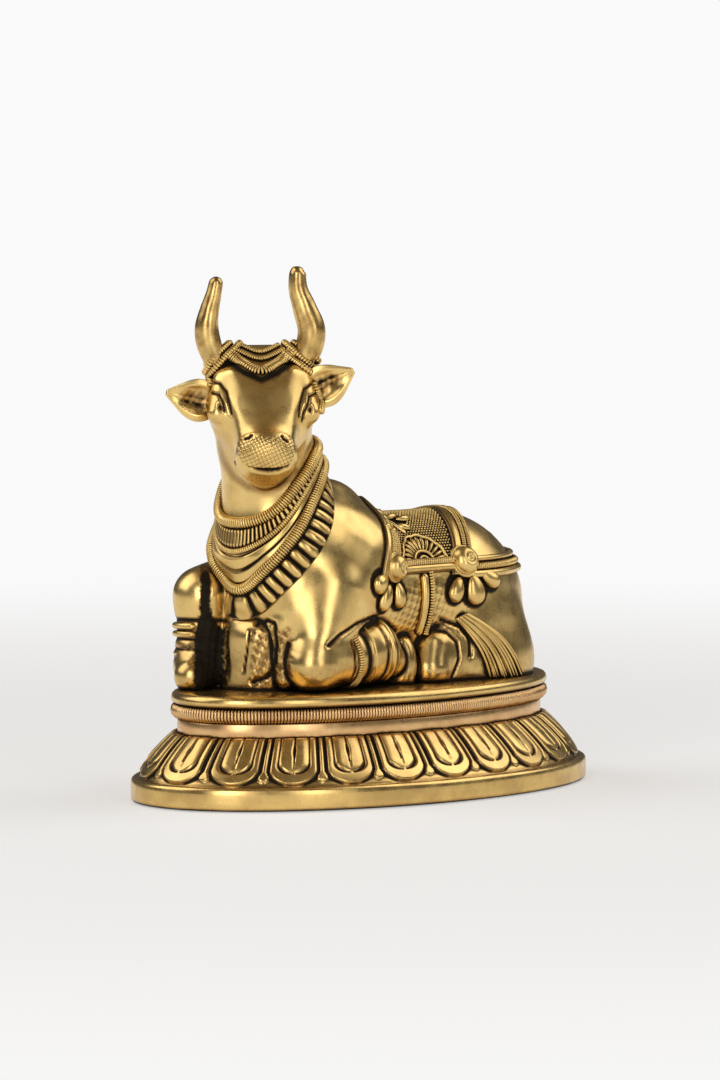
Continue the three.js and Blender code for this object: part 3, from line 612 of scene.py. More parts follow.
def merged_piece(name, meshes):
    """One ornament out of several meshes."""
    whole = bpy.data.meshes.new(name)
    points = []
    faces = []
    for mesh in meshes:
        start = sum(len(p) for p in points)
        flat = np.empty(len(mesh.vertices) * 3, np.float32)
        mesh.vertices.foreach_get("co", flat)
        points.append(flat.reshape(-1, 3))
        faces.extend([[v + start for v in face.vertices] for face in mesh.polygons])
    whole.from_pydata(np.concatenate(points).tolist(), [], faces)
    finish_piece(name, whole, ORNAMENT_BRASS)


# Finish: polished brass with dark patina in what the polishing cloth can't reach, and painted shade where a
# piece marks it.

# Brown and black of the patina, also used for painted shade.
BROWN_PATINA_AND_SHADE = (0.30, 0.17, 0.055)
BLACK_PATINA_AND_SHADE = (0.016, 0.011, 0.006)
HOLLOW_REACH = 2.4
SCRATCH_DEPTH = 0.03


def brass_material(name, polished, warm, roughness, patina_and_shade_share=1.0, scratch=0.12):
    """Brass in two tones, whose recesses keep a brown and black patina. It reads the piece's own patina,
    which also holds painted shade, and turns it brown and black.
    """
    material = bpy.data.materials.new(name)
    material.use_nodes = True
    tree = material.node_tree
    nodes = tree.nodes
    link = tree.links.new
    shader = nodes["Principled BSDF"]
    place = nodes.new("ShaderNodeTexCoord").outputs["Object"]

    def noise(scale, detail, stretch=(1, 1, 1)):
        mapping = nodes.new("ShaderNodeMapping")
        mapping.inputs["Scale"].default_value = stretch
        link(place, mapping.inputs["Vector"])
        texture = nodes.new("ShaderNodeTexNoise")
        texture.inputs["Scale"].default_value = scale
        texture.inputs["Detail"].default_value = detail
        link(mapping.outputs["Vector"], texture.inputs["Vector"])
        return texture.outputs["Fac"]

    def spread(value, low, high, to_low, to_high):
        node = nodes.new("ShaderNodeMapRange")
        node.interpolation_type = "SMOOTHSTEP"
        for label, number in (("From Min", low), ("From Max", high), ("To Min", to_low), ("To Max", to_high)):
            node.inputs[label].default_value = number
        link(value, node.inputs["Value"])
        return node.outputs["Result"]

    def maths(kind, first, second):
        node = nodes.new("ShaderNodeMath")
        node.operation = kind
        node.use_clamp = kind != "ADD"
        for socket, value in zip(node.inputs, (first, second)):
            if isinstance(value, (int, float)):
                socket.default_value = value
            else:
                link(value, socket)
        return node.outputs["Value"]

    def mixed(share, first, second):
        node = nodes.new("ShaderNodeMix")
        node.data_type = "RGBA"
        link(share, node.inputs["Factor"])
        for socket, value in zip((node.inputs[6], node.inputs[7]), (first, second)):
            if isinstance(value, tuple):
                socket.default_value = (*value, 1)
            else:
                link(value, socket)
        return node.outputs[2]

    read = nodes.new("ShaderNodeAttribute")
    read.attribute_name = "patina"
    hollow = nodes.new("ShaderNodeAmbientOcclusion")
    hollow.samples = 8
    hollow.inputs["Distance"].default_value = HOLLOW_REACH * MM
    grain = noise(1400, 4)
    cloud = noise(160, 3)
    kept = maths("MULTIPLY", spread(hollow.outputs["AO"], 0.2, 0.72, 1, 0), spread(cloud, 0.25, 0.6, 0.75, 1))
    dark = maths("MAXIMUM", read.outputs["Fac"], kept)
    specks = maths("MULTIPLY", maths("MULTIPLY", dark, grain), 0.5)
    dark = maths("MULTIPLY", maths("ADD", dark, specks), patina_and_shade_share)
    brown = spread(dark, 0.08, 0.5, 0, 1)
    black = spread(dark, 0.5, 0.95, 0, 1)
    tone = mixed(spread(cloud, 0.35, 0.65, 0, 1), polished, warm)
    tone = mixed(brown, tone, BROWN_PATINA_AND_SHADE)
    tone = mixed(black, tone, BLACK_PATINA_AND_SHADE)
    link(tone, shader.inputs["Base Color"])
    rubbed = spread(noise(300, 3), 0.3, 0.7, roughness - 0.03, roughness + 0.04)
    link(maths("ADD", rubbed, maths("MULTIPLY", black, 0.34)), shader.inputs["Roughness"])
    link(spread(black, 0, 1, 1, 0.5), shader.inputs["Metallic"])
    link(spread(black, 0, 1, 0.5, 0.15), shader.inputs["Specular IOR Level"])
    strokes = maths("ADD", noise(900, 5, (1, 1, 0.12)), maths("MULTIPLY", grain, 0.7))
    strokes = maths("ADD", strokes, maths("MULTIPLY", black, noise(700, 2)))
    bump = nodes.new("ShaderNodeBump")
    bump.inputs["Strength"].default_value = scratch
    bump.inputs["Distance"].default_value = SCRATCH_DEPTH * MM
    link(strokes, bump.inputs["Height"])
    link(bump.outputs["Normal"], shader.inputs["Normal"])
    return material


BRASS = brass_material("polished_brass", (0.84, 0.59, 0.22), (0.70, 0.47, 0.165), 0.28)
ORNAMENT_BRASS = brass_material("chased_brass", (0.83, 0.58, 0.21), (0.66, 0.44, 0.15), 0.3, 1.35, 0.2)
PLINTH_BRASS = brass_material("plinth_brass", (0.79, 0.54, 0.19), (0.64, 0.42, 0.15), 0.27)
BAND_BRASS = brass_material("coppery_brass", (0.83, 0.53, 0.24), (0.70, 0.42, 0.19), 0.28)


# Plinth.

LOTUS_SLANT = math.hypot(LOTUS_HEIGHT, LOTUS_SPREAD)
# What share of a petal's lift goes outwards and upwards, square to the slope.
LIFT_OUT = 0.74
LIFT_UP = 0.67
LOTUS_ROWS = 66
PETAL_COLUMNS = 44
OUTLINE_POINTS = 7201
TABLE_COLUMNS = 480
ROLL_STATIONS = 360
ROLL_RIBS = 340
# The foot's outside from below, as [inset, height].
FOOT_PROFILE = [
    [0.9, 0],
    [0.45, 0.08],
    [0.12, 0.4],
    [0, 0.95],
    [0, 1.9],
    [0, 2.8],
    [0, 3.7],
    [0.06, 4.5],
    [0.3, 4.98],
    [0.8, FOOT_HEIGHT],
    [FOOT_LEDGE, FOOT_HEIGHT + 0.04],
    [1.85, FOOT_HEIGHT - 0.1],
]


def even_turns(count):
    """Turns that part the plinth's outline into equal lengths from the bull's left, and the whole length."""
    fine = np.linspace(0, 2 * np.pi, OUTLINE_POINTS)
    outline = np.stack([HALF_WIDTH * np.cos(fine), HALF_LENGTH * np.sin(fine)], -1)
    lengths = running_lengths(outline)
    return np.interp(np.arange(count) / count * lengths[-1], lengths, fine), lengths[-1]


def share_at_inset(inset):
    """How long the outline is at an inset, as a share of its length at the foot."""
    return 1 - 2 * inset / (HALF_WIDTH + HALF_LENGTH)


def plinth_ring(turns, inset, height):
    inset = np.maximum(inset, 0)
    across = (HALF_WIDTH - inset) * np.cos(turns)
    along = (HALF_LENGTH - inset) * np.sin(turns)
    return np.stack([across, along, height + np.zeros_like(turns)], -1)


def lotus_inset(rise):
    return FOOT_LEDGE + LOTUS_STEP + LOTUS_SPREAD * (0.62 * rise + 0.38 * rise * rise)


def round_ended(x, y, half, bottom, curve):
    """Gap to an outline with straight sides and a round lower end."""
    below = np.minimum(y - bottom - curve, 0)
    near = np.hypot(x / half, below / curve)
    return near * (near - 1) / np.maximum(np.hypot(x / half**2, below / curve**2), 1e-6)


def petal_relief(x, y, pitch):
    """Lift and patina of the lotus, x from the nearest petal's middle and y up the slope from its foot."""
    outline = round_ended(x, y, 0.405 * pitch, 0.5, 4.2)
    lip = round_ended(x, y, 0.275 * pitch, 3.4, 3.0)
    corner = bell(y - 4.6, 1.6) * smoothstep(0.8, 2.2, x)
    line = bell(lip, 0.2 + 0.22 * corner) * np.where(y < 6.4, smoothstep(0.22, 0.6, x), 1)
    edge = bell(outline - 0.25, 0.34) * smoothstep(1.2, 2.6, x)
    slit = bell(x, 0.1 + 0.2 * bell(y - 9.4, 1.5)) * smoothstep(7.2, 8.4, y) * smoothstep(13.2, 12.2, y)
    beside = 0.5 * pitch - x
    arrow = 0.8 * smoothstep(4.6, 2.4, y) * smoothstep(1.3, 2.2, y)
    dart = smoothstep(0.55 + arrow, 0.25 + arrow, beside) * smoothstep(1.0, 1.9, y)
    inside = smoothstep(0.3, -0.2, outline)
    ground = (1 - inside) * (1 - dart)
    lift = PETAL_RELIEF * (0.8 * inside + 0.5 * dart * (1 - inside) + 0.2 * smoothstep(0, -1.6, lip))
    lift = lift - 0.5 * line - 0.55 * slit - 0.12 * edge
    patina = np.clip(line + slit + 0.8 * edge + 0.8 * ground * smoothstep(0.6, 2.4, y), 0, 1)
    return lift, np.maximum(patina, 0.3 * smoothstep(1.5, 0.3, y))


def lotus_plinth():
    turns, length = even_turns(PETAL_COUNT * PETAL_COLUMNS)
    beside = np.arange(len(turns)) / PETAL_COLUMNS - PETAL_START
    beside = np.abs(beside - np.round(beside))
    sway = 0.05 * (1 + np.sin(5 * turns + 1)) + 0.04 * (1 + np.sin(11 * turns))
    rings = [plinth_ring(turns, inset + sway * (0.3 < height < 5), height) for inset, height in FOOT_PROFILE]
    patinas = [np.full(len(turns), 0.42 if inset > FOOT_LEDGE else 0.0) for inset, _ in FOOT_PROFILE]
    for rise in np.linspace(0, 1, LOTUS_ROWS):
        inset = lotus_inset(rise)
        height = LOTUS_BASE + LOTUS_HEIGHT * rise
        pitch = length / PETAL_COUNT * share_at_inset(inset)
        lift, patina = petal_relief(beside * pitch, rise * LOTUS_SLANT, pitch)
        lift = lift * (1 - 0.6 * smoothstep(0.93, 1, rise)) * smoothstep(0, 0.03, rise)
        rings.append(plinth_ring(turns, inset - lift * LIFT_OUT, height + lift * LIFT_UP))
        patinas.append(np.maximum(patina, 0.8 * smoothstep(0.96, 1, rise)))
    points, faces = lofted(rings)
    make_piece("lotus_plinth", points, faces, PLINTH_BRASS, np.concatenate(patinas))


def round_the_plinth(name, profile, material):
    """A closed form round the plinth through [inset, height, patina] stations."""
    turns, _ = even_turns(TABLE_COLUMNS)
    points, faces = lofted([plinth_ring(turns, inset, height) for inset, height, _ in profile])
    make_piece(name, points, faces, material, np.repeat([row[2] for row in profile], len(turns)))


def plinth_table():
    """The plain band over the lotus and the slab that the bull lies on."""
    nose = BAND_INSET - SLAB_OVERHANG
    band = [
        [BAND_INSET + 0.5, BAND_BASE - 0.5, 0.9],
        [BAND_INSET + 0.15, BAND_BASE, 0.6],
        [BAND_INSET, BAND_BASE + 0.35, 0],
        [BAND_INSET - 0.08, BAND_BASE + 1.4, 0],
        [BAND_INSET - 0.04, ROLL_BASE - 0.5, 0],
        [BAND_INSET + 0.15, ROLL_BASE - 0.05, 0.6],
        [BAND_INSET + 0.9, ROLL_BASE + 0.3, 1],
        [BAND_INSET + 0.9, SLAB_BASE - 0.2, 1],
    ]
    slab = [
        [BAND_INSET + 0.9, SLAB_BASE - 0.4, 1],
        [nose + 0.9, SLAB_BASE - 0.08, 1],
        [nose + 0.2, SLAB_BASE + 0.3, 0.35],
        [nose, SLAB_BASE + 0.85, 0],
        [nose + 0.02, SLAB_BASE + 1.3, 0],
        [nose + 0.2, SLAB_TOP - 0.8, 0],
        [nose + 0.6, SLAB_TOP - 0.36, 0],
        [nose + 1.3, SLAB_TOP - 0.1, 0],
        [nose + 2.4, SLAB_TOP, 0],
        [nose + 5, SLAB_TOP, 0],
        [nose + 12, SLAB_TOP, 0],
        [nose + 20, SLAB_TOP, 0],
    ]
    round_the_plinth("plinth_band", band, BAND_BRASS)
    round_the_plinth("plinth_slab", slab, PLINTH_BRASS)


def plinth_roll():
    """The ribbed roll under the slab."""
    turns, length = even_turns(ROLL_STATIONS)
    middle = (ROLL_BASE + SLAB_BASE) / 2
    places = plinth_ring(turns, BAND_INSET, middle)
    outs = unit(np.stack([np.cos(turns) / HALF_WIDTH, np.sin(turns) / HALF_LENGTH, np.zeros_like(turns)], -1))
    pitch = length * share_at_inset(BAND_INSET) / ROLL_RIBS
    size = [pitch, ROLL_HEIGHT * 0.52, ROLL_BULGE]
    ribs = grown(ALONG_PATH, places, RIB, BAND_BRASS, pitch, closed=True, out=outs, size=size)
    finish_piece("plinth_roll", ribs, BAND_BRASS)


# Skin of the bull: the body below the collar rope and the head above it, each a closed shell.

COLLAR_LINE = [[0, 38], [45, 42], [60, 46], [85, 51.5], [125, 54.5], [180, 55.5]]
CHEST_LINE = [[0, 22.4], [34, 27.9], [56, 34], [84, 43.6], [98, 47], [125, 50], [180, 51]]
SEAM_OVERLAP = 0.4
BODY_SUNK = 1.4
CREASE_DEPTH = 0.7
BODY_BOX = [[-22, -52, -2.4], [24, 52, 60]]
HEAD_BOX = [[-20, -58, 36], [30, -12, 84]]
# Further out than this is a flank, and further forward is the breast.
FLANK_START = 8
BREAST_START = -26


def over_collar(p):
    turn = np.degrees(np.arctan2(p[..., 0], NECK_MIDDLE - p[..., 1]))
    return p[..., 2] - eased(COLLAR_LINE, turn)


def body_shell(p):
    return np.maximum(bull(p), np.maximum(over_collar(p) - SEAM_OVERLAP, -BODY_SUNK - p[..., 2]))


def head_shell(p):
    return np.maximum(upper_bull(p), -over_collar(p) - SEAM_OVERLAP)


def polygonised(field, low, high, cell):
    """Points, outward ways and faces of a field's skin inside a box of cells."""
    low = np.array(low, np.float32)
    count = np.ceil((np.array(high) - low) / cell).astype(int) + 1
    ys = low[1] + cell * np.arange(count[1], dtype=np.float32)
    zs = low[2] + cell * np.arange(count[2], dtype=np.float32)
    layer = np.stack(np.meshgrid([0.0], ys, zs, indexing="ij"), -1)[0].astype(np.float32)
    value = np.empty(count, np.float32)
    for i in range(count[0]):
        layer[..., 0] = low[0] + cell * i
        value[i] = field(layer)
    grid = openvdb.FloatGrid(float(cell * 3))
    grid.copyFromArray(np.clip(value, -cell * 3, cell * 3))
    points, triangles, quads = grid.convertToPolygons(isovalue=0.0, adaptivity=0.0)
    points = (points * cell + low).astype(np.float32)
    for _ in range(2):
        ways = slope(field, points)
        points = points - unit(ways) * np.clip(field(points), -cell, cell)[:, None]
    faces = [face[::-1] for face in triangles.tolist() + quads.tolist()]
    return points, unit(slope(field, points)), faces


def skin_piece(name, points, ways, faces, patina):
    faces = turned_out(points, faces, faces[0], ways[faces[0][0]])
    make_piece(name, above_slab(points), faces, BRASS, np.clip(patina, 0, 1))


def line_gap(x, y, points):
    """Gap from places on a surface to a broken line drawn on it."""
    least = np.full(x.shape, FAR_GAP)
    for (x0, y0), (x1, y1) in zip(points, points[1:]):
        across, along = x1 - x0, y1 - y0
        t = np.clip(((x - x0) * across + (y - y0) * along) / (across**2 + along**2), 0, 1)
        least = np.minimum(least, np.hypot(x - x0 - t * across, y - y0 - t * along))
    return least


def creases(p):
    """How sharply two limbs meet at a place, from 0 to 1."""
    folds = [lambda q, number=number: dewlap_folds(q)[number] for number in (0, 1)]
    forms = [trunk, *folds, raised_foreleg, folded_foreleg, bent_hind_legs, hind_hooves, tail]
    gaps = np.stack([form(p) for form in forms])
    ways = np.stack([unit(slope(form, p)) for form in forms])
    order = np.argsort(gaps, axis=0)[:2]
    nearest, second = np.take_along_axis(gaps, order, axis=0)
    first, other = (np.take_along_axis(ways, order[n : n + 1, :, None], 0)[0] for n in (0, 1))
    facing = np.sum(first * other, axis=-1)
    met = bell(second - nearest, 0.8) * smoothstep(0.8, 0.35, facing) * (nearest < 2)
    return met * smoothstep(19, 15, p[:, 2])


# Lines cut in the left flank, as [along Y, height] pairs: over the foreleg, and round the hock.
FLANK_LINES = [
    [[-28.0, 10.8], [-24.5, 13.0], [-18.8, 15.0], [-11.6, 16.2], [-6.5, 14.4], [-3.2, 12.0]],
    [[7.7, 12.1], [11.0, 11.4], [13.3, 9.0], [13.5, 5.0], [11.6, 1.0]],
    [[10.0, 14.0], [14.8, 12.6], [17.0, 9.6], [16.6, 5.6]],
]
TUFT_MIDDLE = [[15.4, 14.6], [18.8, 11.6], [23.0, 7.0], [27.1, 0.0]]
# Lines cut round the rough patch of the breast, as [across the breast, height] pairs, and their half widths.
BREAST_LINES = [
    [[-25.2, 13.4], [-25.5, 10.0], [-26.1, 6.6], [-26.4, 4.4]],
    [[-23.4, 15.0], [-21.2, 16.0], [-19.5, 15.4], [-19.1, 11.0], [-19.4, 6.7], [-20.8, 3.2], [-24.5, 2.0]],
]
BREAST_HALF_WIDTHS = [0.2, 0.45]
# The level way across the breast, back towards the bull's left.
BREAST_X = 0.682
BREAST_Y = 0.731
# Rings on the forelegs as [share of the shank, radius], and the grooves beside them as [share, half width].
LEFT_ANKLETS = [[0.52, 0.85], [0.785, 0.35], [1.1, 0.75]]
LEFT_GROOVES = [[0.425, 0.25], [0.68, 0.6], [0.98, 0.42], [1.225, 0.3]]
RIGHT_ANKLETS = [[0.45, 0.75], [0.57, 0.7], [0.86, 0.5]]
RIGHT_GROOVES = [[0.36, 0.45], [0.51, 0.25], [0.64, 0.35], [0.79, 0.3], [0.93, 0.5]]


def across_breast(p):
    """How far across the breast a place lies, from the bull's right to its left."""
    return BREAST_X * p[:, 0] + BREAST_Y * p[:, 1]


def share_along(p, shank):
    """How far along a shank a place lies, 0 at the knee and 1 at the fetlock."""
    start, end = np.array(shank)
    way = end - start
    return (p - start) @ way / (way @ way)


def ring_grooves(p):
    """The dark lines beside the rings of both forelegs."""
    dark = np.zeros(len(p))
    legs = [(LEFT_SHANK, LEFT_GROOVES, left_shank), (RIGHT_SHANK, RIGHT_GROOVES, right_shank)]
    for shank, grooves, form in legs:
        share = share_along(p, shank)
        length = np.linalg.norm(np.subtract(*shank))
        on_leg = smoothstep(1.2, 0.4, form(p))
        for place, half_width in grooves:
            beside = (share - place) * length
            dark = np.maximum(dark, on_leg * bell(beside, half_width * 1.2))
    return dark


def lumps(p):
    """Coarse cast texture, from -1 to 1."""
    x, y, z = p[:, 0], p[:, 1], p[:, 2]
    coarse = np.sin(2.3 * y + 1.1 * z + 0.7 * x) * np.sin(2.0 * z - 1.3 * y + 0.9 * x + 1)
    fine = np.sin(5.1 * y - 2.2 * z + 1.9 * x + 2) * np.sin(4.3 * z + 3.1 * y - 1.4 * x)
    return 0.6 * coarse + 0.4 * fine


def pitted(p):
    """Where the casting was left rough: the flank between the legs and the border, and the brisket."""
    flank = smoothstep(8, 11, np.abs(p[:, 0])) * bell(p[:, 1] - 3, 12) * smoothstep(9, 12, p[:, 2])
    flank = flank * smoothstep(25, 22, p[:, 2])
    across = across_breast(p)
    between = smoothstep(-25.8, -24.2, across) * smoothstep(-14, -17, across)
    return np.maximum(flank, 1.3 * between * (p[:, 1] < BREAST_START) * smoothstep(16.5, 13, p[:, 2]))


def painted_gap_shade(p):
    """Painted shade: black on the side of the raised foreleg that faces the breast, in the gap between them,
    from 0 to 1.
    """
    across = across_breast(p) + 0.5 * lumps(p)
    high = smoothstep(12, 18, p[:, 2])
    leg_side = -37.4 + 1.3 * high
    breast_side = -30.8 - 3 * high
    between = smoothstep(leg_side - 0.5, leg_side + 0.5, across)
    between = between * smoothstep(breast_side + 0.5, breast_side - 0.5, across)
    return between * smoothstep(-27, -30, p[:, 1]) * smoothstep(29, 25, p[:, 2])


def under_tuft(p):
    """The dark ground between the tail's strands."""
    half_width = 1.3 + 0.34 * (15 - p[:, 2])
    near = line_gap(p[:, 1], p[:, 2], TUFT_MIDDLE) / np.maximum(half_width, 1)
    return smoothstep(1.05, 0.8, near) * (p[:, 0] > FLANK_START) * (p[:, 2] < 15.5)


def shadow_round_tassels(p):
    """Painted shadow: dark ground close round the tassels and bosses of both flanks."""
    dark = np.zeros(len(p))
    for (middle_y, middle_height), drops in ((FRONT_BOSS, FRONT_TASSELS), (REAR_BOSS, REAR_TASSELS)):
        for ahead, rise, length, width, lean in [BOSS_SHADOW, *drops]:
            y, height = p[:, 1] - middle_y - ahead, p[:, 2] - middle_height - rise
            lean = math.radians(lean)
            along = y * math.sin(lean) - height * math.cos(lean)
            across = y * math.cos(lean) + height * math.sin(lean)
            near = np.hypot(along / (length + 0.7), across / (width + 0.7))
            dark = np.maximum(dark, smoothstep(1.12, 0.95, near))
    return dark * (np.abs(p[:, 0]) > FLANK_START)


def body_skin():
    points, ways, faces = polygonised(body_shell, *BODY_BOX, BODY_CELL)
    crease = creases(points)
    for line in FLANK_LINES:
        drawn = bell(line_gap(points[:, 1], points[:, 2], line), 0.42) * (points[:, 0] > FLANK_START)
        crease = np.maximum(crease, drawn)
    across = across_breast(points)
    for line, half_width in zip(BREAST_LINES, BREAST_HALF_WIDTHS):
        drawn = bell(line_gap(across, points[:, 2], line), half_width) * (points[:, 1] < BREAST_START)
        crease = np.maximum(crease, drawn)
    grooves = ring_grooves(points)
    rough = pitted(points)
    # Painted shade by the raised foreleg, and the dark ground between the tail's strands.
    black = np.maximum(painted_gap_shade(points), under_tuft(points))
    # Painted contact shadow: the lowest 1.8 mm of the body, where it sits on the slab.
    low = smoothstep(1.8, 0.2, points[:, 2])
    texture = lumps(points)
    # Painted shadows round the tassels and bosses join the patina here.
    patina = np.maximum.reduce([crease * 1.1, grooves, 0.9 * low, 0.95 * black, shadow_round_tassels(points)])
    patina = np.maximum(patina, rough * (0.24 - 0.3 * texture))
    # Darker towards the bottom of the body, from 18 mm down to 6 mm.
    patina = np.maximum(patina, 0.2 * smoothstep(18, 6, points[:, 2]) + 0.04 * texture)
    depth = CREASE_DEPTH * crease + 0.3 * grooves - (0.16 * rough + 0.25 * black) * texture
    skin_piece("body_skin", points - ways * depth[:, None], ways, faces, patina)


# Marks cut into the face, and the jaw line where shade is painted, in millimetres [to the head's left, up]
# from the poll.
RIGHT_EYE_LINES = [
    [[-12.2, -7.6], [-9.8, -7.9], [-8.5, -9.7], [-8.1, -11.9], [-7.6, -14.6]],
    [[-11.8, -10.0], [-10.1, -10.3], [-9.3, -12.0], [-9.0, -13.9]],
]
LEFT_EYE_LINES = [
    [[12.2, -8.3], [10.8, -8.2], [9.1, -9.1], [8.5, -11.0], [8.0, -12.9], [7.8, -15.2]],
    [[11.8, -10.3], [10.1, -10.8], [9.7, -12.6], [8.8, -14.2], [8.5, -16.2]],
]
PUPILS = [[-9.9, -13.0], [10.2, -13.7]]
JAW_SHADE_LINE = [[-10.4, -21.5], [-9.0, -25.4], [-6.6, -29.0], [-3.4, -31.2], [0.0, -31.9], [3.4, -31.0], [7.2, -27.6]]
MOUTH = [[-4.2, -25.4], [-2.0, -26.3], [-0.1, -26.6], [2.2, -26.4], [4.4, -25.4]]
PAD_MIDDLE = [-0.3, -22.1]
PAD_HALF = [6.3, 3.9]
NOSTRILS = [[[-4.6, -20.0], [-3.9, -19.8], [-3.3, -19.2]], [[2.7, -19.4], [3.2, -20.0], [3.9, -20.5]]]


def from_poll(p):
    away = p - POLL
    return away @ HEAD_LEFT, away @ UP, away @ HEADING


def head_skin():
    points, ways, faces = polygonised(head_shell, *HEAD_BOX, HEAD_CELL)
    left, up, front = from_poll(points)
    seen = smoothstep(0.02, 0.2, ways @ HEADING) * (front > -6)
    cut = np.zeros(len(points))
    for line in RIGHT_EYE_LINES + LEFT_EYE_LINES:
        cut = np.maximum(cut, 0.9 * bell(line_gap(left, up, line), 0.28))
    for pupil in PUPILS:
        cut = np.maximum(cut, bell(np.hypot(left - pupil[0], (up - pupil[1]) * 0.7), 0.5))
    lids = sum(bell(np.hypot(left - x * 1.02, up - y - 0.8), 1.5) for x, y in PUPILS)
    mouth = bell(line_gap(left, up, MOUTH), 0.42)
    lips = bell(line_gap(left, up + 1.1, MOUTH), 0.7)
    cut = np.maximum(cut, mouth * 1.3) * seen
    under_band = bell(line_gap(left, up + 1.7, BROW_BAND), 0.8) * (up > -8) * seen
    # Painted shade along the jaw, which also dips the skin a little.
    jaw_shade = 0.3 * bell(line_gap(left, up, JAW_SHADE_LINE), 1.3) * (front > -2) * (front < 13) * seen
    cut = np.maximum(cut, jaw_shade)
    lift = 0.3 * lids * seen + 0.22 * lips * seen - 0.5 * cut - 0.35 * under_band
    cut = np.maximum(cut, under_band)
    skin_piece("head_skin", points + ways * lift[:, None], ways, faces, cut)


# Horns and ears, in millimetres [to the head's left, forwards, up] from the poll. A horn adds its radius.

RIGHT_HORN = [
    [-10, 0, -4, 2.4],
    [-11.6, 0.4, 0.2, 2.8],
    [-12.3, 0.8, 4, 2.7],
    [-11.7, 1.2, 8, 2.2],
    [-10.7, 1.4, 12, 1.75],
    [-10.2, 1.4, 14.4, 1.6],
    [-10, 1.4, 15.7, 1.5],
]
LEFT_HORN = [
    [9, 0, -4, 2.6],
    [10.9, 0.4, 0, 3.1],
    [11.2, 0.8, 4, 3.1],
    [9.7, 1.2, 8.5, 2.7],
    [8.3, 1.4, 12.5, 2.2],
    [8.1, 1.4, 16.2, 1.9],
    [8.5, 1.4, 17.9, 1.7],
]


def smooth_line(points, count):
    """A smooth line through given points, evenly spaced between each two."""
    points = np.asarray(points, float)
    padded = np.concatenate([2 * points[:1] - points[1:2], points, 2 * points[-1:] - points[-2:-1]])
    at = np.linspace(0, len(points) - 1, count)
    n = np.minimum(at.astype(int), len(points) - 2)
    t = (at - n)[:, None]
    a, b, c, d = (padded[n + k] for k in range(4))
    curve = 2 * b + (c - a) * t + (2 * a - 5 * b + 4 * c - d) * t**2 + (3 * b - a - 3 * c + d) * t**3
    return curve / 2


def head_place(left, front, up):
    beside = np.multiply.outer(left, HEAD_LEFT) + np.multiply.outer(front, HEADING)
    return POLL + beside + np.multiply.outer(up, UP)


HORN_POINTS = 900
HORN_STATIONS = 110
HORN_SIDES = 28
EAR_STATIONS = 48
EAR_SIDES = 72
EAR_HALF_WIDTHS = [[3.2], [4.5], [4.8], [4.0], [2.4], [0.7]]
RIGHT_EAR = [[-10.4, 2.4, -12.8], [-21.6, 4.3, -10]]
LEFT_EAR = [[10.2, 2.4, -10.7], [20.4, 4.3, -5.3]]


def horn(name, points):
    """A horn with a round tip, slightly uneven, with its stations closer together towards the tip."""
    nearer_tip = 1 - (1 - np.linspace(0, 1, HORN_STATIONS)) ** 2
    line = smooth_line(points, HORN_POINTS)[np.round((HORN_POINTS - 1) * nearer_tip).astype(int)]
    places = head_place(line[:, 0], line[:, 1], line[:, 2])
    lengths = running_lengths(places)
    to_tip = (lengths[-1] - lengths) / line[:, 3]
    radii = line[:, 3] * np.sqrt(np.clip(1 - np.clip(1 - to_tip, 0, 0.9999) ** 2, 0, 1))
    flats = 1 + 0.01 * np.cos(5 * round_turns(HORN_SIDES))[None] * np.sin(lengths * 0.9)[:, None]
    section = round_section(radii, HORN_SIDES) * flats[..., None]
    points, faces = swept(places, np.broadcast_to(HEADING, places.shape), section)
    stain = 0.21 + 0.13 * lumps(points * [0.6, 0.6, 0.35]) + 0.04 * lumps(points * 2.3)
    make_piece(name, above_slab(points), faces, BRASS, np.clip(stain, 0, 1))


def ear(name, ends):
    """A hollow leaf that opens forwards, with a thick round rim and lines cut in its hollow."""
    root, tip = ends
    t = np.linspace(0, 1, EAR_STATIONS)
    places = head_place(*[root[axis] + (tip[axis] - root[axis]) * t for axis in range(3)])
    halves = smooth_line(EAR_HALF_WIDTHS, EAR_STATIONS)
    turns = round_turns(EAR_SIDES)
    across = np.cos(turns)
    hollow = 0.34 * np.clip(1 - (across / 0.66) ** 2, 0, 1) ** 0.7
    deep = bell(t - 0.42, 0.34)[:, None]
    lines = 0.1 * (bell(across + 0.22, 0.07) + 0.6 * bell(across - 0.12, 0.05))
    cut = lines * (0.7 + 0.3 * np.sin(23 * t + 1))[:, None]
    front = 0.16 + 0.1 * np.sqrt(np.clip(1 - across**2, 0, 1)) - deep * (hollow + cut)
    back = 0.16 - 0.62 * np.sqrt(np.clip(1 - across**2, 0, 1)) * np.ones((EAR_STATIONS, 1))
    depth = np.where(np.sin(turns) > 0, front, back)
    section = np.stack([np.broadcast_to(across, depth.shape), depth], -1) * halves[:, :, None]
    points, faces = swept(places, np.broadcast_to(HEADING, places.shape), section)
    shade = np.where(np.sin(turns) > 0, deep * np.clip(1 - (across / 0.6) ** 2, 0, 1), 0)
    specks = 0.5 + 0.5 * np.sin(41 * t)[:, None] * np.sin(9 * across + 13 * t[:, None])
    patina = np.clip(shade * (0.2 + 0.35 * specks) + shade * cut * 11, 0, 1).ravel()
    make_piece(name, above_slab(points), faces, BRASS, patina)


# Ropes, drops and sheets of relief that lie on the skin. A line is its places and their outward ways.

CORD_STEP = 0.4


def raised(line, lift):
    places, outs = line
    return places + outs * lift, outs


def plain_rope(line, radius, sides=12):
    places, outs = line
    ends = np.minimum(np.arange(len(places)), np.arange(len(places))[::-1])
    radii = radius * np.clip(0.35 + 0.4 * ends, 0, 1)
    return mesh_of("plain_rope", *swept(above_slab(places), outs, round_section(radii, sides)))


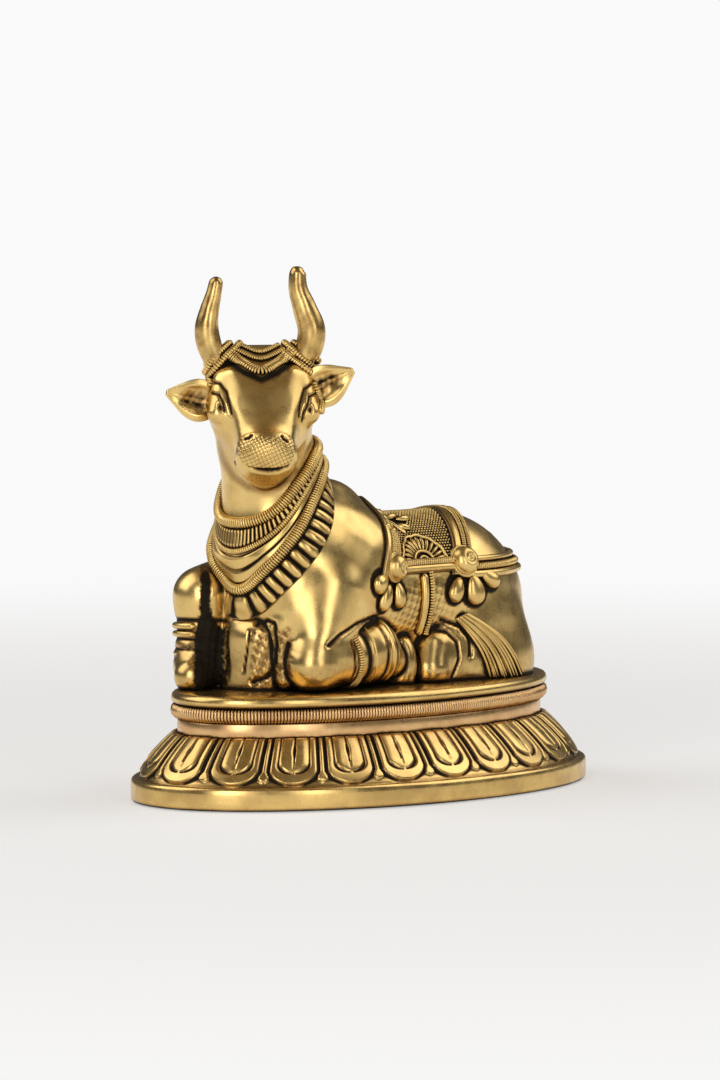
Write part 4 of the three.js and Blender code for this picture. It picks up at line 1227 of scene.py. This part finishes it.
def ribbed_rope(line, radius, pitch):
    """A cord wound with wire: close ribs round a smooth core."""
    places, outs = line
    size = [pitch, radius, radius]
    ribs = grown(ALONG_PATH, above_slab(places), RIB, ORNAMENT_BRASS, pitch, out=outs, size=size)
    return [plain_rope(line, radius * 0.7), ribs]


def set_at(copy, line, alongs, sizes):
    """Copies of a shape at the places of a line, each with its own way and [length, width, height]."""
    places, outs = line
    return grown(AT_POINTS, above_slab(places), copy, ORNAMENT_BRASS, out=outs, along=alongs, size=sizes)


def piece_of_sheet(name, places, outs, lifts, patina):
    points, faces = sheet(above_slab(places), outs, lifts)
    flat = patina.reshape(-1)
    rim = np.zeros(len(points) - len(flat))
    make_piece(name, points, faces, ORNAMENT_BRASS, np.concatenate([flat, rim]))


# Necklaces. Their turns go round the neck from the front, in degrees.

NECKLACE_REACH = 176
PLEAT_COUNT = 100
PLEAT_LEAN = 6
LAPPET_PITCH = 2.55
LAPPET_LENGTH = 5.7
LAPPET_REACH = 116
LAPPET_RELIEF = 1.1


def necklace_rows(turns, downs):
    """The skin between the collar rope's line and the chest rope's, by turn and share of the way down."""
    collar = eased(COLLAR_LINE, turns)
    heights = collar + (eased(CHEST_LINE, turns) - collar) * downs[:, None]
    return on_neck(np.broadcast_to(turns, heights.shape), heights)


def necklace_line(down, steps=240, reach=180):
    turns = np.linspace(-reach, reach, steps)
    places, outs = necklace_rows(turns, np.array([down]))
    return by_length(places[0], outs[0], CORD_STEP)


def worn(turns):
    """How far handling has worn the necklaces down: only in front, on the right of the breast."""
    return smoothstep(17, 3, turns) * smoothstep(-105, -70, turns)


def necklace_ropes():
    collar = ribbed_rope(raised(necklace_line(0.02), 0.35), 1.35, 0.58)
    chest = ribbed_rope(raised(necklace_line(0.98), 0.35), 1.4, 0.6)
    thin = ribbed_rope(raised(necklace_line(0.43), 0.3), 0.72, 0.55)
    merged_piece("collar_rope", collar)
    merged_piece("chest_rope", chest)
    merged_piece("thin_necklace", thin)


def pleated_ribbon():
    """A ribbon of upright pleats under the collar rope, worn flat on the right of the breast."""
    per_pleat = 9
    turns = np.linspace(-NECKLACE_REACH, NECKLACE_REACH, PLEAT_COUNT * per_pleat)
    downs = np.linspace(0.09, 0.4, 12)
    places, outs = necklace_rows(turns, downs)
    v = np.linspace(0, 1, 12)[:, None]
    lean = PLEAT_LEAN * np.sign(turns) * smoothstep(5, 60, np.abs(turns))
    beside = ((turns - lean * v) * PLEAT_COUNT / (2 * NECKLACE_REACH)) % 1 - 0.5
    bar = np.sqrt(np.clip(1 - (beside / 0.42) ** 2, 0, 1))
    ends = smoothstep(0, 0.16, v) * smoothstep(1, 0.84, v)
    flat = worn(turns)[None]
    lifts = 0.15 + ends * (0.75 * bar * (1 - flat) + flat * (0.5 + 0.16 * bar))
    patina = (1 - bar) * (1 - 0.5 * flat) + (1 - ends)
    piece_of_sheet("pleated_ribbon", places, outs, lifts, np.clip(patina, 0, 1))


def swag():
    """Two plain crescents between the thin necklace and the chest rope."""
    turns = np.linspace(-NECKLACE_REACH, NECKLACE_REACH, 200)
    v = np.linspace(0, 1, 22)
    places, outs = necklace_rows(turns, 0.5 + 0.4 * v)
    first = smoothstep(0.02, 0.1, v) * smoothstep(0.5, 0.42, v)
    second = smoothstep(0.54, 0.62, v) * smoothstep(1, 0.92, v)
    lifts = (0.1 + 0.5 * first * (0.8 + 0.2 * v) + 0.4 * second)[:, None] * np.ones(len(turns))
    patina = (1 - np.maximum(first, second))[:, None] * (1 - 0.6 * worn(turns))[None]
    piece_of_sheet("swag", places, outs, lifts, patina)


def lappets():
    """Round-ended leaves that hang side by side, square to the chest rope."""
    steps = 18
    line, outs = necklace_line(1.0, 200, LAPPET_REACH)
    count = 2 * int(running_lengths(line)[-1] / LAPPET_PITCH / 2)
    line, outs = by_length(line, outs, LAPPET_PITCH / steps)
    along = unit(np.gradient(line, axis=0))
    down = unit(np.cross(outs, along))
    down = down * np.sign(-down[:, 2:])
    v = np.linspace(0, 1, 26)
    reach = 0.9 + LAPPET_LENGTH * v
    hanging = (line + down * reach[:, None, None]).astype(np.float32)
    places, outs = settled(breast_and_neck, hanging, 5)
    place = np.linspace(-count / 2, count / 2, len(line))
    beside = place % 1 - 0.5
    flat = smoothstep(1.6, 0.2, place) * smoothstep(-11, -8, place)
    half = 0.43 * np.sqrt(np.clip(1 - (np.clip(v - 0.78, 0, 1) / 0.21) ** 2, 0.0001, 1))[:, None]
    leaf = np.clip(1 - (beside[None] / half) ** 2, 0, 1) ** 0.36
    crown = (0.6 + 0.5 * np.sin(np.pi * np.clip(0.1 + v, 0, 1)))[:, None]
    rim = smoothstep(0.93, 0.97, v)[:, None]
    lifts = 0.06 + LAPPET_RELIEF * np.maximum(leaf * crown * (1 - 0.4 * flat), 0.32 * rim)
    patina = np.clip(1.3 * (1 - leaf) * (1 - 0.4 * flat) + bell(v, 0.1)[:, None], 0, 1) * (1 - 0.6 * rim)
    piece_of_sheet("lappets", places, outs, lifts, patina)


# Saddle cloth and its straps. Angles go down each side from the top of the back, in degrees.

CLOTH_SLANT = 9
CLOTH_DROP = 72
CLOTH_FRONT = 1
CLOTH_REAR = 24.5
FRONT_STRAP_WIDTH = 6.6
REAR_STRAP_WIDTH = 5.6
STRAP_GRID = (30, 170)
# Straps as [across, lift], and the ribbed cords on them as [across, radius, lift].
FRONT_STRAP = [[-1, 0.2], [-0.96, 0.9], [-0.7, 1.15], [-0.45, 1.0], [-0.36, 0.5]]
FRONT_STRAP += [[-0.3, 0.45], [0.9, 0.45], [1, 0.2]]
REAR_STRAP = [[-1, 0.2], [-0.95, 0.7], [-0.84, 0.75], [-0.8, 0.35], [-0.72, 0.85], [-0.4, 1.0], [-0.1, 0.85]]
REAR_STRAP += [[-0.02, 0.35], [0.9, 0.45], [1, 0.2]]
FRONT_CORDS = [[-0.2, 0.5, 0.65], [0.1, 0.5, 0.65], [0.4, 0.5, 0.65], [0.7, 0.5, 0.65]]
REAR_CORDS = [[0.24, 0.62, 0.7], [0.76, 0.62, 0.7]]
RIBBED_BORDER_ANGLE = 65.3
PLAIN_BORDER_ANGLE = 69.6


def cloth_rows(angles, ys):
    """The skin of the barrel, with rows that slant forwards down each side."""
    slant = CLOTH_SLANT * np.abs(angles) / CLOTH_DROP
    return on_barrel(angles, ys - slant)


def cloth_line(y, reach):
    angles = np.linspace(-reach, reach, 160)
    return by_length(*cloth_rows(angles, np.full_like(angles, y)), CORD_STEP)


def saddle_cloth():
    angles, ys = np.meshgrid(np.linspace(-73, 73, 150), np.linspace(CLOTH_FRONT, CLOTH_REAR, 60))
    places, outs = cloth_rows(angles, ys)
    border = smoothstep(63, 64.5, np.abs(angles))
    lifts = 0.32 + 0.35 * border
    patina = np.clip(0.8 - 0.4 * border, 0, 1)
    piece_of_sheet("saddle_cloth", places, outs, lifts, patina)


def strap(name, y, width, profile, ropes):
    """A strap over the back, and the ribbed cords on it."""
    angles = np.broadcast_to(np.linspace(-76, 76, STRAP_GRID[1]), STRAP_GRID)
    across = np.linspace(-1, 1, STRAP_GRID[0])[:, None]
    offsets, heights = np.array(profile, float).T
    places, outs = cloth_rows(angles, y + across * width / 2 + np.zeros(STRAP_GRID))
    lifts = np.interp(across, offsets, heights) * np.ones(STRAP_GRID)
    piece_of_sheet(name, places, outs, lifts, np.clip(0.9 - lifts * 0.9, 0, 1))
    cords = []
    for place, radius, lift in ropes:
        cords += ribbed_rope(raised(cloth_line(y + place * width / 2, 74), lift), radius, 0.56)
    merged_piece(name + "_cords", cords)


def border(side):
    ys = np.linspace(CLOTH_FRONT + 1.5, CLOTH_REAR - 1.5, 60)
    upper, lower = (
        by_length(*cloth_rows(np.full(60, side * angle), ys), CORD_STEP)
        for angle in (RIBBED_BORDER_ANGLE, PLAIN_BORDER_ANGLE)
    )
    parts = ribbed_rope(raised(upper, 0.75), 0.95, 0.62) + [plain_rope(raised(lower, 0.6), 0.85)]
    merged_piece(side_name("cloth_border", side), parts)


def side_name(name, side):
    return ("left_" if side > 0 else "right_") + name


# What is carved on each side of the cloth. Middles are [along Y, height].
FAN_MIDDLE = [4.6, 27.4]
FAN_HALF_WIDTH = 7
FAN_HEIGHT = 5.2
FAN_RIBS = 13
SCALLOPS = 6.5
FLOWER = [0.4, 36.0]
# Leaves of the flower, as [along Y and up from its middle, turn].
LEAVES = [
    [-6.2, -0.6, 0],
    [-3.6, 0.4, 25],
    [3.2, 0.5, 150],
    [5.8, 0, 180],
    [-1.5, 1.4, 60],
    [1.5, 1.4, 120],
    [-3.2, -1.5, -30],
    [3.0, -1.5, 210],
]
BEAD_PITCH = 0.86
BEAD_ANGLE = 2.45


def on_fan(side, turns, reach):
    ys = FAN_MIDDLE[0] - FAN_HALF_WIDTH * reach * np.cos(turns)
    heights = FAN_MIDDLE[1] + FAN_HEIGHT * reach * np.sin(turns)
    return on_flank(side, ys, heights)


def fan(side):
    """A half-round fan of ribs, with scallops round it and small arches at its middle."""
    turns = np.radians(np.linspace(8, 172, FAN_RIBS))
    ribs, outs = on_fan(side, turns, np.full(FAN_RIBS, 0.71))
    tips, _ = on_fan(side, turns, np.full(FAN_RIBS, 0.76))
    parts = [set_at(SMALL_DROP, (ribs + outs * 0.6, outs), unit(tips - ribs), [1.8, 0.6, 0.95])]
    for reach, radius in ((1.0, 0.42), (0.42, 0.4), (0.2, 0.36)):
        arc = np.radians(np.linspace(0, 180, 60))
        wave = 1 + (0.05 * np.abs(np.sin(arc * SCALLOPS)) if reach == 1.0 else 0)
        line = by_length(*on_fan(side, arc, reach * wave * np.ones(60)), 0.3)
        parts.append(plain_rope(raised(line, 0.6), radius, 8))
    return parts


def flower(side):
    """The sprig over the fan: a stem, a small flower and leaves beside it."""
    stem = on_flank(side, np.linspace(2.8, FLOWER[0], 20), np.linspace(33.2, FLOWER[1], 20))
    parts = [plain_rope(raised(by_length(*stem, 0.3), 0.75), 0.5, 8)]
    for ahead, rise, turn in LEAVES:
        y, height = np.array([FLOWER[0] + ahead]), np.array([FLOWER[1] + rise])
        places, outs = on_flank(side, y, height)
        along = np.array([[0, -math.cos(math.radians(turn)), math.sin(math.radians(turn))]])
        parts.append(set_at(SMALL_DROP, (places + outs * 0.7, outs), along, [[2.1, 1.05, 1.2]]))
    return parts


def bead_ground():
    """Punched beads over the cloth, in staggered rows, left out under the fan and its sprig."""
    along = np.arange(CLOTH_FRONT + 3.2, CLOTH_REAR - 3.6, BEAD_PITCH)
    angles, ys = np.meshgrid(np.arange(-62.5, 62.6, BEAD_ANGLE), along)
    ys = ys + 0.5 * BEAD_PITCH * (np.arange(angles.shape[1]) % 2)
    places, outs = cloth_rows(angles.ravel(), ys.ravel())
    beside_fan = (places[:, 1] - FAN_MIDDLE[0]) / (FAN_HALF_WIDTH + 0.6)
    over_fan = (places[:, 2] - FAN_MIDDLE[1]) / (FAN_HEIGHT + 0.5)
    beside_sprig = (places[:, 1] - FLOWER[0]) / 6.8
    over_sprig = (places[:, 2] - FLOWER[1] - 0.3) / 1.9
    clear = np.minimum(np.hypot(beside_fan, over_fan), np.hypot(beside_sprig, over_sprig)) > 1
    free = clear | (np.abs(angles.ravel()) < 12)
    return set_at(FINE_BEAD, (places[free] + outs[free] * 0.3, outs[free]), [0, 1, 0], [0.37, 0.37, 0.46])


def cloth_pattern():
    merged_piece("cloth_beads", [bead_ground()])
    merged_piece("cloth_fans", fan(1) + fan(-1) + flower(1) + flower(-1))


# Harness at each side.

FRONT_BOSS = [-6.5, 27]
REAR_BOSS = [16.6, 26.8]
FRONT_BOSS_RADIUS = 3.55
REAR_BOSS_RADIUS = 3.9
# The painted shadow round a boss, in the same columns as the tassels below.
BOSS_SHADOW = [0, 0, 3.6, 3.6, 0]
# A boss from its rim to its middle, as [share of its radius, lift], for the radius that it was drawn at.
DRAWN_BOSS_RADIUS = 2.8
BOSS_PROFILE = [
    [0.98, -1.6],
    [1.0, 0.45],
    [0.96, 0.78],
    [0.89, 0.84],
    [0.85, 0.7],
    [0.83, 1.15],
    [0.75, 1.72],
    [0.62, 2.18],
    [0.46, 2.44],
    [0.33, 2.5],
    [0.31, 2.34],
    [0.26, 2.3],
    [0.23, 2.52],
    [0.17, 2.62],
    [0.11, 2.5],
    [0.09, 2.34],
    [0.03, 2.3],
]


def boss(side, place, radius):
    places, outs = on_flank(side, np.array([place[0]]), np.array([place[1]]))
    out = outs[0]
    across = unit(np.cross(out, UP))
    upwards = np.cross(across, out)
    turns = round_turns(48)
    circle = np.cos(turns)[:, None] * across + np.sin(turns)[:, None] * upwards
    rings = []
    for share, lift in BOSS_PROFILE:
        rings.append(places[0] + circle * radius * share + out * lift * radius / DRAWN_BOSS_RADIUS)
    points, faces = lofted(above_slab(np.array(rings)))
    first = points[faces[0][0]]
    return mesh_of("boss", points, turned_out(points, faces, faces[0], first - points.mean(axis=0)))


# Tassels below a boss: [along Y and up from its middle, half length, half width, lean of the wide end].
FRONT_TASSELS = [[-5.2, -3.2, 2.7, 2.7, -62], [-2.9, -6.6, 3.2, 2.4, -16], [1.7, -6.4, 3.0, 2.2, 10]]
REAR_TASSELS = [[-3.2, -6.0, 3.0, 2.6, -22], [2.3, -6.3, 3.5, 3.2, 10], [7.0, -4.0, 3.1, 2.4, 62]]


def tassels(side, middle, drops):
    parts = []
    for ahead, rise, length, width, lean in drops:
        places, outs = on_flank(side, np.array([middle[0] + ahead]), np.array([middle[1] + rise]))
        along = [[0, math.sin(math.radians(lean)), -math.cos(math.radians(lean))]]
        parts.append(set_at(DROP, (places + outs * 0.35, outs), along, [[length, width, 1.9]]))
    return parts


GIRTH_YS = [3.6, 5.8]
GIRTH_TOP = 25
GIRTH_FOOT = 11


def harness(side):
    heights = np.linspace(GIRTH_TOP, GIRTH_FOOT, 40)
    plain, ribbed = [by_length(*on_flank(side, np.full(40, y), heights), CORD_STEP) for y in GIRTH_YS]
    girth = [plain_rope(raised(plain, 0.3), 0.95)] + ribbed_rope(raised(ribbed, 0.25), 0.85, 0.62)
    merged_piece(side_name("girth", side), girth)
    bosses = [boss(side, FRONT_BOSS, FRONT_BOSS_RADIUS), boss(side, REAR_BOSS, REAR_BOSS_RADIUS)]
    merged_piece(side_name("bosses", side), bosses)
    drops = tassels(side, FRONT_BOSS, FRONT_TASSELS) + tassels(side, REAR_BOSS, REAR_TASSELS)
    merged_piece(side_name("tassels", side), drops)


RUMP_MIDDLE = 20
RUMP_STRAP_HEIGHT = 25.5
RUMP_STRAP_HALF = 2.3
RUMP_GRID = (12, 150)


def rump_line(turns, height):
    """Places round the rump, by turn from its rear in degrees and by height."""
    turns = np.radians(turns)
    ways = np.stack([np.sin(turns), np.cos(turns), np.zeros_like(turns)], axis=-1)
    heights = height + np.zeros_like(turns)
    middles = np.stack([np.zeros_like(turns), np.full_like(turns, RUMP_MIDDLE), heights], -1)
    return cast(bull_without_head, ways * FAR_OFF + middles, -ways)


def rump_strap():
    turns = np.linspace(-98, 98, RUMP_GRID[1])
    v = np.linspace(-1, 1, RUMP_GRID[0])[:, None]
    places, outs = rump_line(np.broadcast_to(turns, RUMP_GRID), RUMP_STRAP_HEIGHT + v * RUMP_STRAP_HALF)
    lifts = 0.5 * smoothstep(1.0, 0.8, np.abs(v)) * np.ones(RUMP_GRID)
    piece_of_sheet("rump_strap", places, outs, lifts, np.full(RUMP_GRID, 0.75))
    parts = []
    for rise, radius in ((1.65, 0.72), (-1.6, 0.85)):
        line = by_length(*rump_line(turns, RUMP_STRAP_HEIGHT + rise), CORD_STEP)
        parts.append(plain_rope(raised(line, 0.55), radius))
    middle = by_length(*rump_line(turns, RUMP_STRAP_HEIGHT), CORD_STEP)
    parts += ribbed_rope(raised(middle, 0.6), 0.9, 0.6)
    merged_piece("rump_cords", parts)


TUFT_STRANDS = 14


def tuft():
    """The tail's tuft over the left haunch, in strands that spread downwards."""
    parts = []
    for number, share in enumerate(np.linspace(0, 1, TUFT_STRANDS)):
        stray = math.sin(number * 2.1)
        ys = [14.0 + 2.6 * share, 16.6 + 4.2 * share, 19.4 + 7.2 * share + 0.3 * stray, 21.8 + 10.6 * share]
        heights = [14.2 + 1.0 * share, 11.2 + 1.4 * share, 6.4 + 1.6 * share, 0.2 + 0.9 * stray * share]
        line = smooth_line(np.stack([ys, heights], -1), 40)
        places, outs = by_length(*on_flank(1, line[:, 0], line[:, 1]), 0.5)
        t = np.linspace(0, 1, len(places))
        radii = 0.22 + 0.18 * np.sin(np.pi * np.clip(0.1 + t * 0.78, 0, 1))
        section = round_section(radii, 10, 0.18 + 0.22 * math.sin(number * 1.7))
        parts.append(mesh_of("strand", *swept(above_slab(places), outs, section)))
    merged_piece("tail_tuft", parts)


# The open side of each foreleg, and how far its rings go round from there to each side, in degrees.
LEFT_RING_REACH = [[1, 0, 0.35], 118]
RIGHT_RING_REACH = [[-0.75, -0.66, 0], 84]
OFF_LIMB = 14


def limb_ring(form, shank, share, reach):
    """A line round a limb, square to its shank."""
    start, end = np.array(shank, float)
    middle = start + (end - start) * share
    along = unit(end - start)
    open_side, most = reach
    outward = unit(open_side - along * (np.array(open_side) @ along))
    beside = np.cross(along, outward)
    turns = np.radians(np.linspace(-most, most, 80))[:, None]
    ways = np.cos(turns) * outward + np.sin(turns) * beside
    return by_length(*cast(form, middle + ways * OFF_LIMB, -ways), 0.35)


def anklets():
    """Rings round the shanks of the forelegs. Where a leg meets the body they run into it."""
    parts = []
    for number, (share, radius) in enumerate(LEFT_ANKLETS):
        line = raised(limb_ring(left_shank, LEFT_SHANK, share, LEFT_RING_REACH), 0.25)
        parts += ribbed_rope(line, radius, 0.55) if number == 0 else [plain_rope(line, radius)]
    for share, radius in RIGHT_ANKLETS:
        line = raised(limb_ring(right_shank, RIGHT_SHANK, share, RIGHT_RING_REACH), 0.15)
        parts.append(plain_rope(line, radius))
    merged_piece("anklets", parts)


# Headdress, in millimetres [to the head's left, up] from the poll.

BROW_BAND = [[-7.6, -1.4], [-4.4, -3.6], [-0.6, -5.2], [3.3, -3.7], [6.5, -1.5]]
CRESCENTS = [[[-5.6, -0.9], [-0.4, -2.8], [5.0, -0.9]], [[-4.4, 0.0], [-0.3, -1.3], [3.8, 0.0]]]
HEAD_ROPES = [
    [[-4.7, 0.3], [-8.9, -3.1], [-12.5, -8.4]],
    [[-6.8, 0.5], [-10.3, -2.1], [-12.2, -5.6]],
    [[5.4, 0.3], [8.7, -2.4], [12.3, -5.6]],
    [[7.5, 0.3], [10.3, -1.2], [12.5, -3.4]],
    [[5.0, -1.6], [8.0, -4.0], [11.6, -6.6]],
    [[12.2, -6.0], [13.0, -11.0], [12.5, -14.2]],
]


def face_line(points, lift):
    line = smooth_line(points, 60)
    return raised(by_length(*on_face(line[:, 0], line[:, 1]), 0.3), lift)


def headdress():
    ropes = []
    for points in HEAD_ROPES:
        ropes += ribbed_rope(face_line(points, 0.3), 0.9, 0.62)
    merged_piece("head_ropes", ropes)
    places, outs = face_line(BROW_BAND, 0.25)
    size = [0.56, 1.5, 0.85]
    band = [grown(ALONG_PATH, above_slab(places), RIB, ORNAMENT_BRASS, 0.56, out=outs, size=size)]
    for points in CRESCENTS:
        band += ribbed_rope(face_line(points, 0.25), 0.62, 0.5)
    merged_piece("brow_band", band)


PAD_GRID = (66, 96)
HATCH_PITCH = 0.78


def muzzle_pad():
    """The raised nose pad, cross-hatched below its smooth top, with its nostrils."""
    across, rise = np.meshgrid(np.linspace(-1, 1, PAD_GRID[1]), np.linspace(-1, 1, PAD_GRID[0]))
    left = PAD_MIDDLE[0] + across * PAD_HALF[0] * 1.04
    up = PAD_MIDDLE[1] + rise * PAD_HALF[1] * 1.04
    places, outs = on_face(left, up)
    edge = (np.abs(across) ** 3 + np.abs(rise) ** 3) ** (1 / 3)
    inside = smoothstep(1.0, 0.86, edge)
    turned = [left * math.cos(a) + up * math.sin(a) for a in (math.radians(24), math.radians(114))]
    hatch = np.minimum(*[np.abs(np.sin(part * math.pi / HATCH_PITCH)) for part in turned])
    hatch = np.maximum(hatch, smoothstep(0.55, 0.85, rise))
    nostrils = np.zeros(left.shape)
    for line in NOSTRILS:
        nostrils = np.maximum(nostrils, bell(line_gap(left, up, line), 0.2))
    wings = bell(np.hypot(np.abs(left - PAD_MIDDLE[0]) - 4.2, up - PAD_MIDDLE[1] - 3), 1.5)
    lifts = -0.25 + (0.9 + 0.15 * wings) * inside - 0.15 * inside * smoothstep(0.45, 0.05, hatch)
    lifts = lifts - 0.4 * nostrils
    # Painted shade round the lower part of the pad's rim.
    foot = smoothstep(0.9, 1.0, edge) * (rise < 0.2)
    patina = np.clip(0.3 * smoothstep(0.5, 0, hatch) + 0.9 * nostrils + 0.5 * foot, 0, 1)
    piece_of_sheet("muzzle_pad", places, outs, lifts, patina)


lotus_plinth()
plinth_table()
plinth_roll()
body_skin()
head_skin()
horn("right_horn", RIGHT_HORN)
horn("left_horn", LEFT_HORN)
ear("right_ear", RIGHT_EAR)
ear("left_ear", LEFT_EAR)
necklace_ropes()
pleated_ribbon()
swag()
lappets()
saddle_cloth()
strap("front_strap", CLOTH_FRONT, FRONT_STRAP_WIDTH, FRONT_STRAP, FRONT_CORDS)
strap("rear_strap", CLOTH_REAR, REAR_STRAP_WIDTH, REAR_STRAP, REAR_CORDS)
cloth_pattern()
for side in (1, -1):
    border(side)
    harness(side)
rump_strap()
tuft()
anklets()
headdress()
muzzle_pad()


# Camera, stage and lights. The photograph was taken from the bull's front left, a little above its middle.

AIM = Vector((0, 0, 56.5 * MM))
CAMERA_TURN = math.radians(47)
CAMERA_RISE = math.radians(4.5)
CAMERA_GAP = 1.7
CAMERA_LENS = 249.33
LONG_SIDE = 1080
SIDE_SHIFT_PIXELS = 1.3

# Surroundings as seen in the brass, round the figure and overhead, and how bright the white paper is.
SURROUNDINGS = (0.09, 0.089, 0.087)
OVERHEAD = (0.18, 0.14, 0.095)
PAPER = 0.95
FLOOR_GLOW = 0.4
FLOOR_NEAR = 0.16
FLOOR_FAR = 0.6
FLOOR_RADIUS = 6
FLOOR_SUNK = 0.0002

# Light panels: [name, turn from the camera, rise, distance, width, height, power in watts].
PANELS = [
    ["front_left_panel", -16, 16, 1.2, 0.42, 0.9, 4.3],
    ["front_right_panel", 30, 16, 1.2, 0.32, 0.9, 2.7],
    ["left_wall", -88, 42, 1.0, 0.9, 0.9, 4.5],
    ["right_wall", 104, 41, 1.0, 0.9, 0.9, 4.2],
]


def bearing(turn, rise):
    """A way out from the figure, by its turn from the front and its rise."""
    return Vector((math.sin(turn) * math.cos(rise), -math.cos(turn) * math.cos(rise), math.sin(rise)))


def looking_at(thing, place, aim):
    thing.location = place
    thing.rotation_euler = (aim - place).to_track_quat("-Z", "Y").to_euler()


def camera():
    lens = bpy.data.cameras.new("camera")
    lens.sensor_fit = "AUTO"
    lens.sensor_width = 36
    lens.lens = CAMERA_LENS
    lens.shift_x = -SIDE_SHIFT_PIXELS / LONG_SIDE
    lens.clip_start = 0.05
    lens.clip_end = 20
    holder = bpy.data.objects.new("camera", lens)
    bpy.context.scene.collection.objects.link(holder)
    looking_at(holder, AIM + bearing(CAMERA_TURN, CAMERA_RISE) * CAMERA_GAP, AIM)
    bpy.context.scene.camera = holder


def soft_light(name, turn, rise, gap, width, height, power):
    panel = bpy.data.lights.new(name, "AREA")
    panel.shape = "RECTANGLE"
    panel.size = width
    panel.size_y = height
    panel.energy = power
    holder = bpy.data.objects.new(name, panel)
    bpy.context.scene.collection.objects.link(holder)
    looking_at(holder, AIM + bearing(CAMERA_TURN + math.radians(turn), math.radians(rise)) * gap, AIM)


def pale_floor():
    """A floor that takes the figure's shadow, and further out is as bright as the paper behind."""
    material = bpy.data.materials.new("pale_paper")
    material.use_nodes = True
    nodes = material.node_tree.nodes
    link = material.node_tree.links.new
    shader = nodes["Principled BSDF"]
    shader.inputs["Base Color"].default_value = (0.6, 0.6, 0.6, 1)
    shader.inputs["Roughness"].default_value = 0.9
    shader.inputs["Emission Color"].default_value = (1, 0.99, 0.98, 1)
    shader.inputs["Emission Strength"].default_value = FLOOR_GLOW
    far = nodes.new("ShaderNodeEmission")
    far.inputs["Color"].default_value = (1, 1, 1, 1)
    far.inputs["Strength"].default_value = PAPER
    gap = nodes.new("ShaderNodeVectorMath")
    gap.operation = "LENGTH"
    link(nodes.new("ShaderNodeTexCoord").outputs["Object"], gap.inputs[0])
    share = nodes.new("ShaderNodeMapRange")
    share.interpolation_type = "SMOOTHSTEP"
    share.inputs["From Min"].default_value = FLOOR_NEAR
    share.inputs["From Max"].default_value = FLOOR_FAR
    link(gap.outputs["Value"], share.inputs["Value"])
    mix = nodes.new("ShaderNodeMixShader")
    link(share.outputs["Result"], mix.inputs["Fac"])
    link(shader.outputs["BSDF"], mix.inputs[1])
    link(far.outputs["Emission"], mix.inputs[2])
    link(mix.outputs["Shader"], nodes["Material Output"].inputs["Surface"])
    turns = round_turns(96)
    circle = np.stack([np.cos(turns), np.sin(turns), np.zeros(96)], -1)
    points, faces = lofted([circle * radius for radius in (0.001, FLOOR_FAR, FLOOR_RADIUS)], capped=False)
    mesh = bpy.data.meshes.new("pale_floor")
    mesh.from_pydata((points - UP * FLOOR_SUNK).tolist(), [], faces)
    mesh.materials.append(material)
    floor = bpy.data.objects.new("pale_floor", mesh)
    bpy.context.scene.collection.objects.link(floor)


def world_light():
    """Dim pale surroundings that turn warm overhead. The camera alone sees them as white paper."""
    world = bpy.data.worlds.new("studio")
    world.use_nodes = True
    tree = world.node_tree
    nodes = tree.nodes
    link = tree.links.new
    place = nodes.new("ShaderNodeTexCoord")
    parts = nodes.new("ShaderNodeSeparateXYZ")
    link(place.outputs["Generated"], parts.inputs["Vector"])
    overhead = nodes.new("ShaderNodeMapRange")
    overhead.interpolation_type = "SMOOTHSTEP"
    for label, number in (("From Min", 0.55), ("From Max", 0.9)):
        overhead.inputs[label].default_value = number
    link(parts.outputs["Z"], overhead.inputs["Value"])
    tint = nodes.new("ShaderNodeMix")
    tint.data_type = "RGBA"
    link(overhead.outputs["Result"], tint.inputs["Factor"])
    tint.inputs[6].default_value = (*SURROUNDINGS, 1)
    tint.inputs[7].default_value = (*OVERHEAD, 1)
    lit = nodes["Background"]
    link(tint.outputs[2], lit.inputs["Color"])
    paper = nodes.new("ShaderNodeBackground")
    paper.inputs["Color"].default_value = (1, 1, 1, 1)
    paper.inputs["Strength"].default_value = PAPER
    path = nodes.new("ShaderNodeLightPath")
    mix = nodes.new("ShaderNodeMixShader")
    link(path.outputs["Is Camera Ray"], mix.inputs["Fac"])
    link(lit.outputs["Background"], mix.inputs[1])
    link(paper.outputs["Background"], mix.inputs[2])
    link(mix.outputs["Shader"], nodes["World Output"].inputs["Surface"])
    bpy.context.scene.world = world


camera()
pale_floor()
world_light()
for panel in PANELS:
    soft_light(*panel)
bpy.context.scene.view_settings.view_transform = "Standard"
